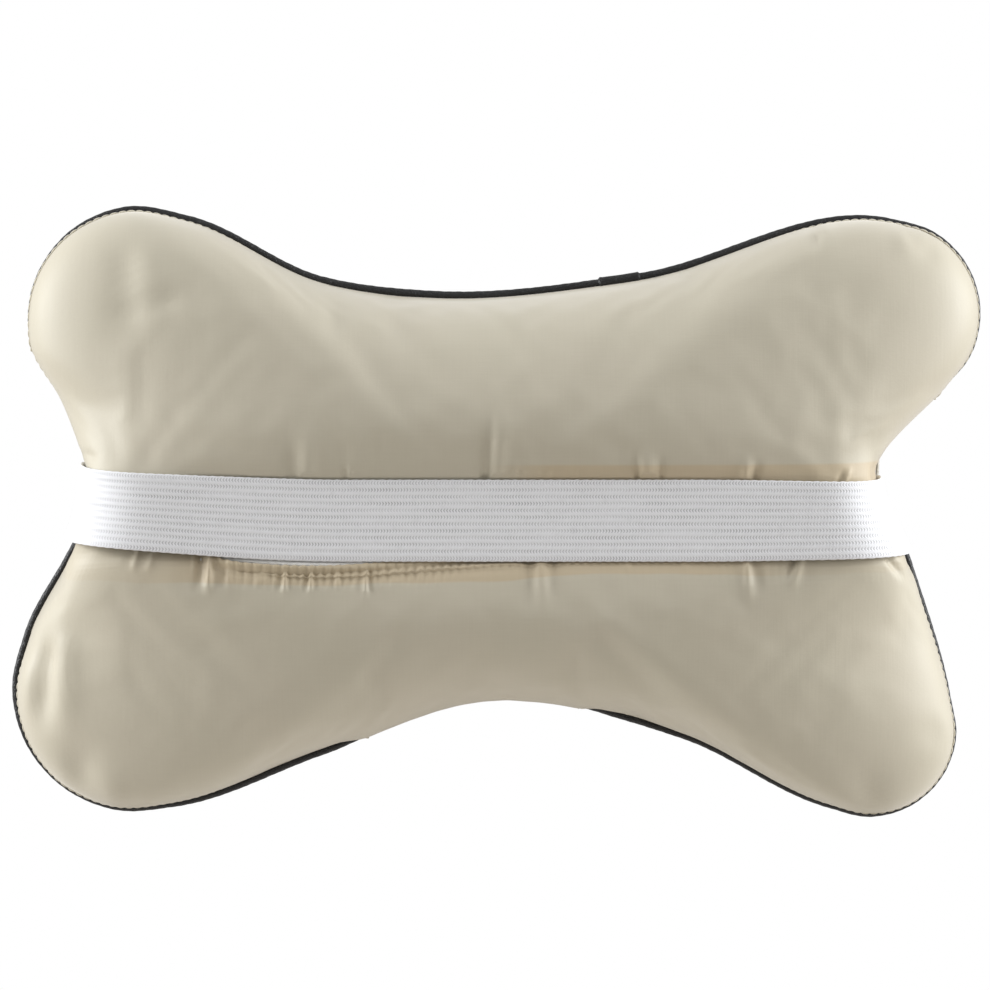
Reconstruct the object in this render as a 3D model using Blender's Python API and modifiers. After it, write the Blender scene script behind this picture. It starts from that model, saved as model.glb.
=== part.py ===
"""A bone-shaped car neck pillow with a zip and an elastic headrest strap.

Sizes are in metres. X runs along the pillow, +Z is up, and -Y is the back, where the strap is.
The origin is the middle of the strap's inner face.
"""

import math

import bmesh
import bpy
import numpy as np
from mathutils import Vector

MM = 0.001

# The outline: four round lobes, and the waist points that join each lobe to the next, clockwise
# from the top. A lobe is its centre's x and z, its radius, and the angles where its arc starts
# and ends, in millimetres and degrees.
TOP_WAIST = [(-54, 71.5), (-20, 67), (45, 72.5)]
UPPER_RIGHT_LOBE = (121.5, 61.5, 28, 86, -51)
RIGHT_WAIST = [(118, 15.5), (128.5, -16)]
LOWER_RIGHT_LOBE = (117, -68.5, 26, 22, -116.5)
BOTTOM_WAIST = [(59.5, -70), (-3, -58), (-54.5, -75)]
LOWER_LEFT_LOBE = (-112, -55.5, 37.5, -73.5, -206)
LEFT_WAIST = [(-128.5, -4), (-126.5, 12.5)]
UPPER_LEFT_LOBE = (-110, 59.5, 34, 225.5, 65.5)
LOBE_ARC_POINTS = 6
OUTLINE_SAMPLES = 1440

# Level rings of the two faces pass from this ellipse in the middle to the outline at the seam.
CORE_X = 125 * MM
CORE_Z = 62 * MM

# Depths are measured from the seam plane, which the piping lies in.
SEAM_Y = 40 * MM
BACK_CROWN = 50 * MM
FRONT_CROWN = 47 * MM
SIDE_POWER = 2.6
STRAP_SIDE_POWER = 6.0
STRAP_SIDE_REACH = 22 * MM
SEAM_GAP = 1.7 * MM

# The valley that the strap pulls in between the back's two rolls.
VALLEY_Z = -1 * MM
VALLEY_DEPTH = 17 * MM
VALLEY_WIDTH = 21 * MM

LINING_THICKNESS = 0.8 * MM
LEATHER_THICKNESS = 0.9 * MM
FOAM_THICKNESS = 3 * MM
BAG_THICKNESS = 0.6 * MM
PANEL_GAP = 0.5 * MM
FRONT_SEAM_X = 50 * MM

# What is inside the cover: each piece keeps this far in from the outline, and its depth is this
# share of the cover's. The filling's valley is wider, to leave room for the zip.
INSIDE_VALLEY_WIDTH = 31 * MM
FOAM_INSET = 5 * MM
FOAM_SHARE = 0.85
FOAM_GAP = 3 * MM
BAG_INSET = 9.5 * MM
BAG_FRONT_SHARE = 0.80
BAG_BACK_SHARE = 0.86
FILL_INSET = 11.5 * MM
FILL_FRONT_SHARE = 0.77
FILL_BACK_SHARE = 0.82

STRAP_WIDTH = 25 * MM
STRAP_THICKNESS = 1.2 * MM
STRAP_MIDDLE_HALF = 95 * MM
STRAP_SPLIT = 0.3 * MM
STRAP_END_POWER = 3.0
STRAP_CLEARANCE = 1.5 * MM
STRAP_NOTCH = 2.3 * MM
STRAP_NOTCH_HALF = 19 * MM
STRAP_TUCK = 7 * MM

CORD_RADIUS = 0.6 * MM
PIPING_RADIUS = 1.15 * MM
PIPING_WALL = 0.5 * MM
PIPING_OFFSET = 0.4 * MM
PIPING_FLANGE = 5.5 * MM
PIPING_FLANGE_Y = 0.75 * MM
PIPING_SPOKES = 72
JOIN_START_X = 32 * MM
JOIN_LENGTH = 13.5 * MM
JOIN_RADIUS = 1.95 * MM
JOIN_HALF_ANGLE = math.radians(75)

ZIP_Z = -2 * MM
TAPE_FACE_Y = 8 * MM
TAPE_WIDTH = 12.5 * MM
TAPE_THICKNESS = 0.6 * MM
TAPE_HALF_LENGTH = 91.5 * MM
SLOT_HALF_LENGTH = 92 * MM
SLOT_HALF_WIDTH = 7 * MM
CHAIN_SPLIT = 0.6 * MM
COIL_WIDTH = 1.8 * MM
COIL_HEIGHT = 1.6 * MM
COIL_HALF_LENGTH = 86.5 * MM
STOP_LENGTH = 1.7 * MM
PIECE_GAP = 0.3 * MM

SLIDER_X = 82 * MM
SLIDER_LENGTH = 8.5 * MM
SLIDER_WIDTH = 6.8 * MM
SLIDER_PLATE = 0.9 * MM
SLIDER_BOTTOM_PLATE = 0.7 * MM
SLIDER_LIP = 0.65 * MM
SLIDER_LIP_DEPTH = 0.9 * MM
SLIDER_NECK_LENGTH = 3 * MM
BRIDGE_LENGTH = 5.2 * MM
BRIDGE_LEG = 0.8 * MM
BRIDGE_WIDTH = 1.6 * MM
BRIDGE_OPENING = 1.3 * MM
BRIDGE_TOP = 0.7 * MM
TAB_THICKNESS = 0.7 * MM
TAB_BAR = 0.9 * MM
TAB_ARM = 1.0 * MM
TAB_RING_LENGTH = 3.2 * MM
TAB_LENGTH = 14 * MM
TAB_WIDTH = 5.6 * MM

OVERLAP = 0.1 * MM

COLOURS = {
    "lining": ((0.72, 0.65, 0.54), 0.55, 0.0),
    "leather": ((0.016, 0.016, 0.017), 0.5, 0.0),
    "elastic": ((0.78, 0.78, 0.77), 0.75, 0.0),
    "tape": ((0.76, 0.72, 0.63), 0.8, 0.0),
    "coil": ((0.74, 0.70, 0.61), 0.4, 0.0),
    "nickel": ((0.70, 0.69, 0.66), 0.3, 1.0),
    "foam": ((0.62, 0.58, 0.46), 0.95, 0.0),
    "nonwoven": ((0.80, 0.80, 0.78), 0.85, 0.0),
    "fibre": ((0.84, 0.84, 0.83), 1.0, 0.0),
    "cord": ((0.70, 0.68, 0.62), 0.9, 0.0),
}


# ---------------------------------------------------------------- scene and materials


def clear_scene():
    for item in list(bpy.data.objects):
        bpy.data.objects.remove(item, do_unlink=True)


def make_collection(name):
    collection = bpy.data.collections.new(name)
    bpy.context.scene.collection.children.link(collection)
    return collection


def make_material(name):
    colour, roughness, metallic = COLOURS[name]
    material = bpy.data.materials.new(name)
    material.use_nodes = True
    shader = material.node_tree.nodes["Principled BSDF"]
    shader.inputs["Base Color"].default_value = (*colour, 1.0)
    shader.inputs["Roughness"].default_value = roughness
    shader.inputs["Metallic"].default_value = metallic
    return material


clear_scene()
PILLOW = make_collection("neck_pillow")
CUTTERS = make_collection("cutters")
MATERIALS = {name: make_material(name) for name in COLOURS}


# ---------------------------------------------------------------- mesh helpers


def finish_mesh(name, shape, material, origin=(0.0, 0.0, 0.0)):
    """Turn a bmesh into an object of the pillow whose origin lies at the given point."""
    shift = -Vector(origin)
    bmesh.ops.translate(shape, verts=shape.verts, vec=shift)
    bmesh.ops.recalc_face_normals(shape, faces=shape.faces)
    mesh = bpy.data.meshes.new(name)
    shape.to_mesh(mesh)
    shape.free()
    mesh.materials.append(MATERIALS[material])
    part = bpy.data.objects.new(name, mesh)
    part.location = origin
    PILLOW.objects.link(part)
    return part


def add_solidify(part, thickness, offset):
    """Thicken an open surface: offset -1 grows inwards, 0 both ways and 1 outwards."""
    solidify = part.modifiers.new("thickness", "SOLIDIFY")
    solidify.thickness = thickness
    solidify.offset = offset
    solidify.use_even_offset = True


def add_bevel(part, width):
    bevel = part.modifiers.new("edges", "BEVEL")
    bevel.width = width
    bevel.segments = 1
    bevel.limit_method = "ANGLE"


def make_box(name, low, high, material, bevel=0.0):
    """A block between two corners, its origin at its middle."""
    low = Vector(low)
    high = Vector(high)
    shape = bmesh.new()
    bmesh.ops.create_cube(shape, size=1.0)
    bmesh.ops.scale(shape, verts=shape.verts, vec=high - low)
    bmesh.ops.translate(shape, verts=shape.verts, vec=(low + high) / 2)
    part = finish_mesh(name, shape, material, (low + high) / 2)
    if bevel:
        add_bevel(part, bevel)
    return part


def join_solids(part, others):
    """Weld other solids to a part with exact unions, keeping them as hidden cutters."""
    for other in others:
        PILLOW.objects.unlink(other)
        CUTTERS.objects.link(other)
        other.hide_render = True
        other.display_type = "WIRE"
        union = part.modifiers.new("join", "BOOLEAN")
        union.operation = "UNION"
        union.solver = "EXACT"
        union.object = other


# ---------------------------------------------------------------- the pillow's outline


def lobe_points(lobe):
    x, z, radius, start, end = lobe
    angles = np.radians(np.linspace(start, end, LOBE_ARC_POINTS))
    return [(x + radius * math.cos(a), z + radius * math.sin(a)) for a in angles]


def smooth_loop(points, count):
    """A closed curve through the points, sampled at equal steps along its length."""
    points = np.array(points)
    after = np.roll(points, -1, axis=0)
    step = np.linalg.norm(after - points, axis=1)[:, None]
    slope = (after - points) / step
    step_before = np.roll(step, 1, axis=0)
    slope_before = np.roll(slope, 1, axis=0)
    tangent = (slope * step_before + slope_before * step) / (step + step_before)
    t = np.linspace(0.0, 1.0, 24, endpoint=False)[None, :, None]
    start = points[:, None, :]
    end = after[:, None, :]
    leave = (tangent * step)[:, None, :]
    arrive = (np.roll(tangent, -1, axis=0) * step)[:, None, :]
    curve = (2 * t**3 - 3 * t**2 + 1) * start + (t**3 - 2 * t**2 + t) * leave
    curve = curve + (3 * t**2 - 2 * t**3) * end + (t**3 - t**2) * arrive
    curve = curve.reshape(-1, 2)
    closed = np.vstack([curve, curve[:1]])
    along = np.concatenate([[0.0], np.cumsum(np.linalg.norm(np.diff(closed, axis=0), axis=1))])
    wanted = np.linspace(0.0, along[-1], count, endpoint=False)
    return np.column_stack([np.interp(wanted, along, closed[:, i]) for i in range(2)])


class Outline:
    """A closed curve round the origin, in the seam plane."""

    def __init__(self, points):
        self.points = points
        tangent = np.roll(points, -1, axis=0) - np.roll(points, 1, axis=0)
        normals = np.column_stack([-tangent[:, 1], tangent[:, 0]])
        self.normals = normals / np.linalg.norm(normals, axis=1)[:, None]

    def inset(self, distance):
        return Outline(self.points - self.normals * distance)

    def steps(self, count):
        """That many points at equal steps, each with its outward normal."""
        chosen = np.arange(count) * len(self.points) // count
        return self.points[chosen], self.normals[chosen]

    def ring(self, share, count):
        """A level ring, from 0 at the origin to 1 at the outline, as points of x and z."""
        edge, _ = self.steps(count)
        edge_reach = np.hypot(edge[:, 0], edge[:, 1])
        core = CORE_X * CORE_Z * edge_reach / np.hypot(CORE_Z * edge[:, 0], CORE_X * edge[:, 1])
        reach = share * (core + (edge_reach - core) * share**2)
        return edge * (reach / edge_reach)[:, None]

    def side_x(self, side, z):
        """Where the outline crosses a height near the strap's end; side is -1 or 1."""
        near = self.points[(self.points[:, 0] * side > 0.1) & (abs(self.points[:, 1]) < 0.03)]
        order = np.argsort(near[:, 1])
        return float(np.interp(z, near[order, 1], near[order, 0]))


OUTLINE_POINTS = (
    TOP_WAIST
    + lobe_points(UPPER_RIGHT_LOBE)
    + RIGHT_WAIST
    + lobe_points(LOWER_RIGHT_LOBE)
    + BOTTOM_WAIST
    + lobe_points(LOWER_LEFT_LOBE)
    + LEFT_WAIST
    + lobe_points(UPPER_LEFT_LOBE)
)
SEAM = Outline(smooth_loop(OUTLINE_POINTS, OUTLINE_SAMPLES) * MM)


# ---------------------------------------------------------------- the pillow's two faces


def side_profile(share, power):
    """How far a face stands out at a share of the way to its edge: 1 in the middle."""
    return max(0.0, 1.0 - share**power) ** (1.0 / power)


def back_height(z, share, valley_width=VALLEY_WIDTH):
    """The back's distance from the seam plane, at a height and a share of the way out."""
    near_strap = math.exp(-((z / STRAP_SIDE_REACH) ** 2))
    power = SIDE_POWER + (STRAP_SIDE_POWER - SIDE_POWER) * near_strap
    valley = VALLEY_DEPTH * math.exp(-((abs(z - VALLEY_Z) / valley_width) ** 3))
    return (BACK_CROWN - valley) * side_profile(share, power)


def inside_back_height(z, share):
    return back_height(z, share, INSIDE_VALLEY_WIDTH)


def front_height(z, share):
    """The front's distance from the seam plane, which is the same at every height."""
    return FRONT_CROWN * side_profile(share, SIDE_POWER)


def strap_notch(x, z):
    """How far the back's edge stays clear of the seam where the strap is sewn in."""
    if abs(x) < STRAP_MIDDLE_HALF:
        return 0.0
    return STRAP_NOTCH * math.exp(-((z / STRAP_NOTCH_HALF) ** 6))


def loft_dome(shape, outline, spokes, rings, place):
    """Loft a face from its middle to its edge; place gives the point at x, z and a share."""
    middle = shape.verts.new(place(0.0, 0.0, 0.0))
    loops = []
    for step in range(1, rings + 1):
        share = math.sin(0.5 * math.pi * step / rings)
        ring = outline.ring(share, spokes)
        loops.append([shape.verts.new(place(x, z, share)) for x, z in ring])
    for i in range(spokes):
        j = (i + 1) % spokes
        shape.faces.new((middle, loops[0][i], loops[0][j]))
        for inner, outer in zip(loops, loops[1:]):
            shape.faces.new((inner[i], outer[i], outer[j], inner[j]))


def cut_away(shape, point, normal):
    """Cut a surface with a plane and drop what lies on the normal's side."""
    geometry = shape.verts[:] + shape.edges[:] + shape.faces[:]
    bmesh.ops.bisect_plane(shape, geom=geometry, plane_co=point, plane_no=normal, clear_outer=True)


def score(shape, point, normal):
    """Add the edges where a plane crosses a surface."""
    geometry = shape.verts[:] + shape.edges[:] + shape.faces[:]
    bmesh.ops.bisect_plane(shape, geom=geometry, plane_co=point, plane_no=normal)


# ---------------------------------------------------------------- covers and filling


def make_back_panel(name, up):
    """One half of the lining; up is 1 above the zip and -1 below it."""

    def place(x, z, share):
        edge_gap = SEAM_GAP + strap_notch(x, z)
        return (x, SEAM_Y - edge_gap - (1 - edge_gap / BACK_CROWN) * back_height(z, share), z)

    shape = bmesh.new()
    loft_dome(shape, SEAM, 90, 10, place)
    cut_away(shape, (0, 0, ZIP_Z + up * PANEL_GAP / 2), (0, 0, -up))
    slot_edge = ZIP_Z + up * SLOT_HALF_WIDTH
    score(shape, (0, 0, slot_edge), (0, 0, 1))
    for side in (-1, 1):
        score(shape, (side * SLOT_HALF_LENGTH, 0, 0), (1, 0, 0))
    in_slot = []
    for face in shape.faces:
        centre = face.calc_center_median()
        if abs(centre.x) < SLOT_HALF_LENGTH and (slot_edge - centre.z) * up > 0:
            in_slot.append(face)
    bmesh.ops.delete(shape, geom=in_slot, context="FACES")
    part = finish_mesh(name, shape, "lining")
    add_solidify(part, LINING_THICKNESS, -1.0)


def make_front_panel(name, low_x, high_x):
    """The leather between two upright seams; None leaves that side whole."""

    def place(x, z, share):
        return (x, SEAM_Y + SEAM_GAP + (1 - SEAM_GAP / FRONT_CROWN) * front_height(z, share), z)

    shape = bmesh.new()
    loft_dome(shape, SEAM, 72, 7, place)
    if low_x is not None:
        cut_away(shape, (low_x, 0, 0), (-1, 0, 0))
    if high_x is not None:
        cut_away(shape, (high_x, 0, 0), (1, 0, 0))
    part = finish_mesh(name, shape, "leather")
    add_solidify(part, LEATHER_THICKNESS, -1.0)


def make_inner_face(shape, inset, height, toward, share, gap):
    """A smaller copy of one face; toward is -1 for the back and 1 for the front."""

    def place(x, z, way_out):
        return (x, SEAM_Y + toward * (gap + share * height(z, way_out)), z)

    loft_dome(shape, SEAM.inset(inset), 40, 6, place)


def make_inner_shell(name, material, thickness, *face):
    shape = bmesh.new()
    make_inner_face(shape, *face)
    part = finish_mesh(name, shape, material)
    add_solidify(part, thickness, -1.0)


def make_filling():
    shape = bmesh.new()
    make_inner_face(shape, FILL_INSET, inside_back_height, -1, FILL_BACK_SHARE, 0.0)
    make_inner_face(shape, FILL_INSET, front_height, 1, FILL_FRONT_SHARE, 0.0)
    bmesh.ops.remove_doubles(shape, verts=shape.verts, dist=0.01 * MM)
    finish_mesh("fibre_fill", shape, "fibre")


def make_covers():
    make_back_panel("back_panel_upper", 1)
    make_back_panel("back_panel_lower", -1)
    half_gap = PANEL_GAP / 2
    make_front_panel("front_panel_left", None, -FRONT_SEAM_X - half_gap)
    make_front_panel("front_panel_centre", -FRONT_SEAM_X + half_gap, FRONT_SEAM_X - half_gap)
    make_front_panel("front_panel_right", FRONT_SEAM_X + half_gap, None)


def make_inside():
    foam = (FOAM_INSET, front_height, 1, FOAM_SHARE, FOAM_GAP)
    make_inner_shell("front_foam", "foam", FOAM_THICKNESS, *foam)
    bag_front = (BAG_INSET, front_height, 1, BAG_FRONT_SHARE, PIECE_GAP)
    make_inner_shell("inner_bag_front", "nonwoven", BAG_THICKNESS, *bag_front)
    bag_back = (BAG_INSET, inside_back_height, -1, BAG_BACK_SHARE, PIECE_GAP)
    make_inner_shell("inner_bag_back", "nonwoven", BAG_THICKNESS, *bag_back)
    make_filling()


# ---------------------------------------------------------------- piping


def loft_along_edge(shape, points, normals, profile, closed):
    """Sweep a profile of (outward, Y) pairs along the outline."""
    rows = []
    for (x, z), (nx, nz) in zip(points, normals):
        rows.append([shape.verts.new((x + n * nx, SEAM_Y + y, z + n * nz)) for n, y in profile])
    count = len(rows)
    for i in range(count if closed else count - 1):
        here = rows[i]
        there = rows[(i + 1) % count]
        for j in range(len(profile) - 1):
            shape.faces.new((here[j], here[j + 1], there[j + 1], there[j]))
    return rows


def arc_profile(radius, half_angle, steps):
    angles = np.linspace(-half_angle, half_angle, steps)
    return [(PIPING_OFFSET + radius * math.cos(a), radius * math.sin(a)) for a in angles]


def make_piping_cover():
    tube = arc_profile(PIPING_RADIUS, math.radians(125), 5)
    flange_start = -0.9 * MM
    profile = [(-PIPING_FLANGE, -PIPING_FLANGE_Y), (flange_start, -PIPING_FLANGE_Y)]
    profile += tube
    profile += [(flange_start, PIPING_FLANGE_Y), (-PIPING_FLANGE, PIPING_FLANGE_Y)]
    shape = bmesh.new()
    points, normals = SEAM.steps(PIPING_SPOKES)
    loft_along_edge(shape, points, normals, profile, closed=True)
    part = finish_mesh("piping_cover", shape, "leather")
    add_solidify(part, PIPING_WALL, 0.0)


def make_piping_cord():
    points, normals = SEAM.steps(PIPING_SPOKES)
    curve = bpy.data.curves.new("piping_cord", "CURVE")
    curve.dimensions = "3D"
    curve.bevel_depth = CORD_RADIUS
    curve.bevel_resolution = 1
    spline = curve.splines.new("POLY")
    spline.points.add(len(points) - 1)
    for place, (x, z), (nx, nz) in zip(spline.points, points, normals):
        place.co = (x + PIPING_OFFSET * nx, SEAM_Y, z + PIPING_OFFSET * nz, 1.0)
    spline.use_cyclic_u = True
    curve.materials.append(MATERIALS["cord"])
    PILLOW.objects.link(bpy.data.objects.new("piping_cord", curve))


def make_piping_join():
    points, normals = SEAM.steps(OUTLINE_SAMPLES)
    on_top = points[:, 1] > 0.05
    after_start = points[:, 0] >= JOIN_START_X
    before_end = points[:, 0] <= JOIN_START_X + JOIN_LENGTH
    chosen = np.flatnonzero(on_top & after_start & before_end)[::5]
    shape = bmesh.new()
    profile = arc_profile(JOIN_RADIUS, JOIN_HALF_ANGLE, 7)
    loft_along_edge(shape, points[chosen], normals[chosen], profile, closed=False)
    part = finish_mesh("piping_join_wrap", shape, "leather")
    add_solidify(part, PIPING_WALL, 0.0)


# ---------------------------------------------------------------- strap


def strap_end_path(side, z):
    """The inner face of one strap end at a height: round the side, then tucked into the seam."""
    outside = abs(SEAM.side_x(side, z)) + STRAP_CLEARANCE
    start = STRAP_MIDDLE_HALF + STRAP_SPLIT
    path = []
    for angle in np.radians(np.linspace(90, 8, 15)):
        along = max(0.0, math.cos(angle)) ** (2.0 / STRAP_END_POWER)
        up = math.sin(angle) ** (2.0 / STRAP_END_POWER)
        path.append((start + (outside - start) * along, SEAM_Y * (1.0 - up)))
    tuck_y = SEAM_Y - SEAM_GAP - STRAP_THICKNESS
    path.append((outside, tuck_y - 2.4 * MM))
    path.append((outside - 0.4 * MM, tuck_y - 0.4 * MM))
    path.append((outside - 2.2 * MM, tuck_y))
    path.append((outside - STRAP_TUCK, tuck_y))
    return [(side * x, y) for x, y in path]


def make_strap_end(name, side):
    shape = bmesh.new()
    rows = []
    for z in np.linspace(-STRAP_WIDTH / 2, STRAP_WIDTH / 2, 5):
        rows.append([shape.verts.new((x, y, z)) for x, y in strap_end_path(side, z)])
    for low, high in zip(rows, rows[1:]):
        for j in range(len(low) - 1):
            shape.faces.new((low[j], low[j + 1], high[j + 1], high[j]))
    part = finish_mesh(name, shape, "elastic")
    middle_normal = part.data.polygons[0].normal
    outwards = 1.0 if middle_normal.y < 0 else -1.0
    add_solidify(part, STRAP_THICKNESS, outwards)


def make_strap():
    half = STRAP_WIDTH / 2
    low = (-STRAP_MIDDLE_HALF, -STRAP_THICKNESS, -half)
    high = (STRAP_MIDDLE_HALF, 0.0, half)
    make_box("strap_middle", low, high, "elastic")
    make_strap_end("strap_end_left", -1)
    make_strap_end("strap_end_right", 1)


# ---------------------------------------------------------------- zip

COIL_LOW_Y = TAPE_FACE_Y - PIECE_GAP - COIL_HEIGHT
COIL_HIGH_Y = TAPE_FACE_Y - PIECE_GAP
PLATE_LOW_Y = COIL_LOW_Y - PIECE_GAP - SLIDER_PLATE
PLATE_HIGH_Y = COIL_LOW_Y - PIECE_GAP
TAB_PIVOT_Y = PLATE_LOW_Y - BRIDGE_OPENING / 2
STOP_START_X = COIL_HALF_LENGTH + PIECE_GAP


def zip_box(name, x_range, y_range, z_range, material, bevel=0.0):
    """A block of the zip; z_range counts from the zip's middle line."""
    low_z, high_z = sorted(ZIP_Z + z for z in z_range)
    low = (x_range[0], y_range[0], low_z)
    high = (x_range[1], y_range[1], high_z)
    return make_box(name, low, high, material, bevel)


def make_zip_side(label, up):
    """The tape, the coil and the top stop of one side; up is 1 above and -1 below."""
    tape_x = (-TAPE_HALF_LENGTH, TAPE_HALF_LENGTH)
    tape_y = (TAPE_FACE_Y, TAPE_FACE_Y + TAPE_THICKNESS)
    tape_z = (up * CHAIN_SPLIT, up * (CHAIN_SPLIT + TAPE_WIDTH))
    zip_box("zip_tape_" + label, tape_x, tape_y, tape_z, "tape")
    coil_x = (-COIL_HALF_LENGTH, COIL_HALF_LENGTH)
    coil_y = (COIL_LOW_Y, COIL_HIGH_Y)
    coil_z = (up * CHAIN_SPLIT, up * (CHAIN_SPLIT + COIL_WIDTH))
    zip_box("zip_coil_" + label, coil_x, coil_y, coil_z, "coil", 0.3 * MM)
    stop_x = (STOP_START_X, STOP_START_X + STOP_LENGTH)
    zip_box("zip_top_stop_" + label, stop_x, coil_y, coil_z, "nickel", 0.2 * MM)


def extrude_outline(name, loops, thickness, material, place):
    """A flat outline, with holes if it has several loops, of a thickness centred on its plane.

    place turns the outline's own two coordinates and its depth into X, Y and Z.
    """
    curve = bpy.data.curves.new(name, "CURVE")
    curve.dimensions = "2D"
    curve.fill_mode = "BOTH"
    curve.extrude = thickness / 2
    for loop in loops:
        spline = curve.splines.new("POLY")
        spline.points.add(len(loop) - 1)
        for point, (u, v) in zip(spline.points, loop):
            point.co = (u, v, 0.0, 1.0)
        spline.use_cyclic_u = True
    flat = bpy.data.objects.new(name + "_outline", curve)
    bpy.context.scene.collection.objects.link(flat)
    bpy.context.view_layer.update()
    mesh = bpy.data.meshes.new_from_object(flat)
    bpy.data.objects.remove(flat, do_unlink=True)
    shape = bmesh.new()
    shape.from_mesh(mesh)
    bpy.data.meshes.remove(mesh)
    bmesh.ops.remove_doubles(shape, verts=shape.verts, dist=0.01 * MM)
    for vertex in shape.verts:
        vertex.co = place(*vertex.co)
    return finish_mesh(name, shape, material, place(0.0, 0.0, 0.0))


def make_slider():
    """Two plates joined by a neck between the tapes, with a bridge that holds the tab."""
    half = SLIDER_WIDTH / 2
    lip = half - SLIDER_LIP
    lip_y = PLATE_HIGH_Y + SLIDER_LIP_DEPTH
    plate = [
        (-half, PLATE_LOW_Y),
        (half, PLATE_LOW_Y),
        (half, lip_y),
        (lip, lip_y),
        (lip, PLATE_HIGH_Y),
        (-lip, PLATE_HIGH_Y),
        (-lip, lip_y),
        (-half, lip_y),
    ]

    def across(u, v, depth):
        return (SLIDER_X + depth, v, ZIP_Z + u)

    slider = extrude_outline("zip_slider", [plate], SLIDER_LENGTH, "nickel", across)
    bottom_y = TAPE_FACE_Y + TAPE_THICKNESS + PIECE_GAP
    half_length = SLIDER_LENGTH / 2
    slider_x = (SLIDER_X - half_length, SLIDER_X + half_length)
    bottom_range = (bottom_y, bottom_y + SLIDER_BOTTOM_PLATE)
    bottom = zip_box("slider_bottom", slider_x, bottom_range, (-half, half), "nickel")
    neck_half = CHAIN_SPLIT - PIECE_GAP
    neck_x = (SLIDER_X + half_length - SLIDER_NECK_LENGTH, SLIDER_X + half_length - OVERLAP)
    neck_y = (PLATE_HIGH_Y - OVERLAP, bottom_y + OVERLAP)
    neck = zip_box("slider_neck", neck_x, neck_y, (-neck_half, neck_half), "nickel")
    join_solids(slider, [neck, bottom, make_bridge()])


def make_bridge():
    outer = BRIDGE_LENGTH / 2
    inner = outer - BRIDGE_LEG
    opening_y = PLATE_LOW_Y - BRIDGE_OPENING
    foot_y = PLATE_LOW_Y + OVERLAP
    arch = [
        (-outer, foot_y),
        (-outer, opening_y - BRIDGE_TOP),
        (outer, opening_y - BRIDGE_TOP),
        (outer, foot_y),
        (inner, foot_y),
        (inner, opening_y),
        (-inner, opening_y),
        (-inner, foot_y),
    ]

    def along(u, v, depth):
        return (SLIDER_X + u, v, ZIP_Z + depth)

    return extrude_outline("slider_bridge", [arch], BRIDGE_WIDTH, "nickel", along)


def make_pull_tab():
    """A flat tab whose ring end runs round the bridge; its origin is on its pivot."""
    bar = TAB_BAR / 2
    hole = BRIDGE_WIDTH / 2 + PIECE_GAP
    arm = hole + TAB_ARM
    half = TAB_WIDTH / 2
    shoulder = TAB_RING_LENGTH + TAB_ARM
    tip = TAB_LENGTH - half / 2
    outline = [
        (bar, -arm),
        (bar, arm),
        (-TAB_RING_LENGTH, arm),
        (-shoulder - TAB_ARM, half),
        (-tip, half),
        (-TAB_LENGTH, half / 2),
        (-TAB_LENGTH, -half / 2),
        (-tip, -half),
        (-shoulder - TAB_ARM, -half),
        (-TAB_RING_LENGTH, -arm),
    ]
    ring = [(-bar, -hole), (-bar, hole), (-TAB_RING_LENGTH, hole), (-TAB_RING_LENGTH, -hole)]

    def flat(u, v, depth):
        return (SLIDER_X + u, TAB_PIVOT_Y + depth, ZIP_Z + v)

    extrude_outline("zip_pull_tab", [outline, ring], TAB_THICKNESS, "nickel", flat)


def make_zip():
    make_zip_side("upper", 1)
    make_zip_side("lower", -1)
    stop_x = (-STOP_START_X - STOP_LENGTH, -STOP_START_X)
    stop_half = CHAIN_SPLIT + COIL_WIDTH
    stop_y = (COIL_LOW_Y, COIL_HIGH_Y)
    zip_box("zip_bottom_stop", stop_x, stop_y, (-stop_half, stop_half), "nickel", 0.2 * MM)
    make_slider()
    make_pull_tab()


make_covers()
make_inside()
make_piping_cover()
make_piping_cord()
make_piping_join()
make_strap()
make_zip()
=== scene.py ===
"""Looks for the bone-shaped neck pillow, seen from its back, with its strap and zip.

Sizes are in metres in the frame's own axes: X runs along the pillow, +Z is up, and -Y is the back,
where the strap is. The outline and the depths repeat the part's own driving dimensions.
"""

import math
from contextlib import contextmanager

import bmesh
import bpy
import numpy as np
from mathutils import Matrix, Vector, geometry
from mathutils.bvhtree import BVHTree


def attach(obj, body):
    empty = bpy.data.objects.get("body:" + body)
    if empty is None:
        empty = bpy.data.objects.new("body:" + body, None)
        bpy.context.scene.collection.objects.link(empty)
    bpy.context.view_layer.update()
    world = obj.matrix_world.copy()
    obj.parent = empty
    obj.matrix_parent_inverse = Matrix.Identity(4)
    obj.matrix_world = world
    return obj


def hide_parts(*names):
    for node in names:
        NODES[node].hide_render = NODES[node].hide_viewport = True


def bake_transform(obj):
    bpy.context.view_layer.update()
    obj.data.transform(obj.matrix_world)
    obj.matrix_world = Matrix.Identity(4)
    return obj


MM = 0.001

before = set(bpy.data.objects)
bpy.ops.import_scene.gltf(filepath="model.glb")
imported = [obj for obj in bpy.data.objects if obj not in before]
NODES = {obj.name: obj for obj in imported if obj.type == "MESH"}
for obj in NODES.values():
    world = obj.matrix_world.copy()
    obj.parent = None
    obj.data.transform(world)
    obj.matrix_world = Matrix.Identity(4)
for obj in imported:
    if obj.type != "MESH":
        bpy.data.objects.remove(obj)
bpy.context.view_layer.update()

# ---------------------------------------------------------------- the part's driving dimensions

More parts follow.
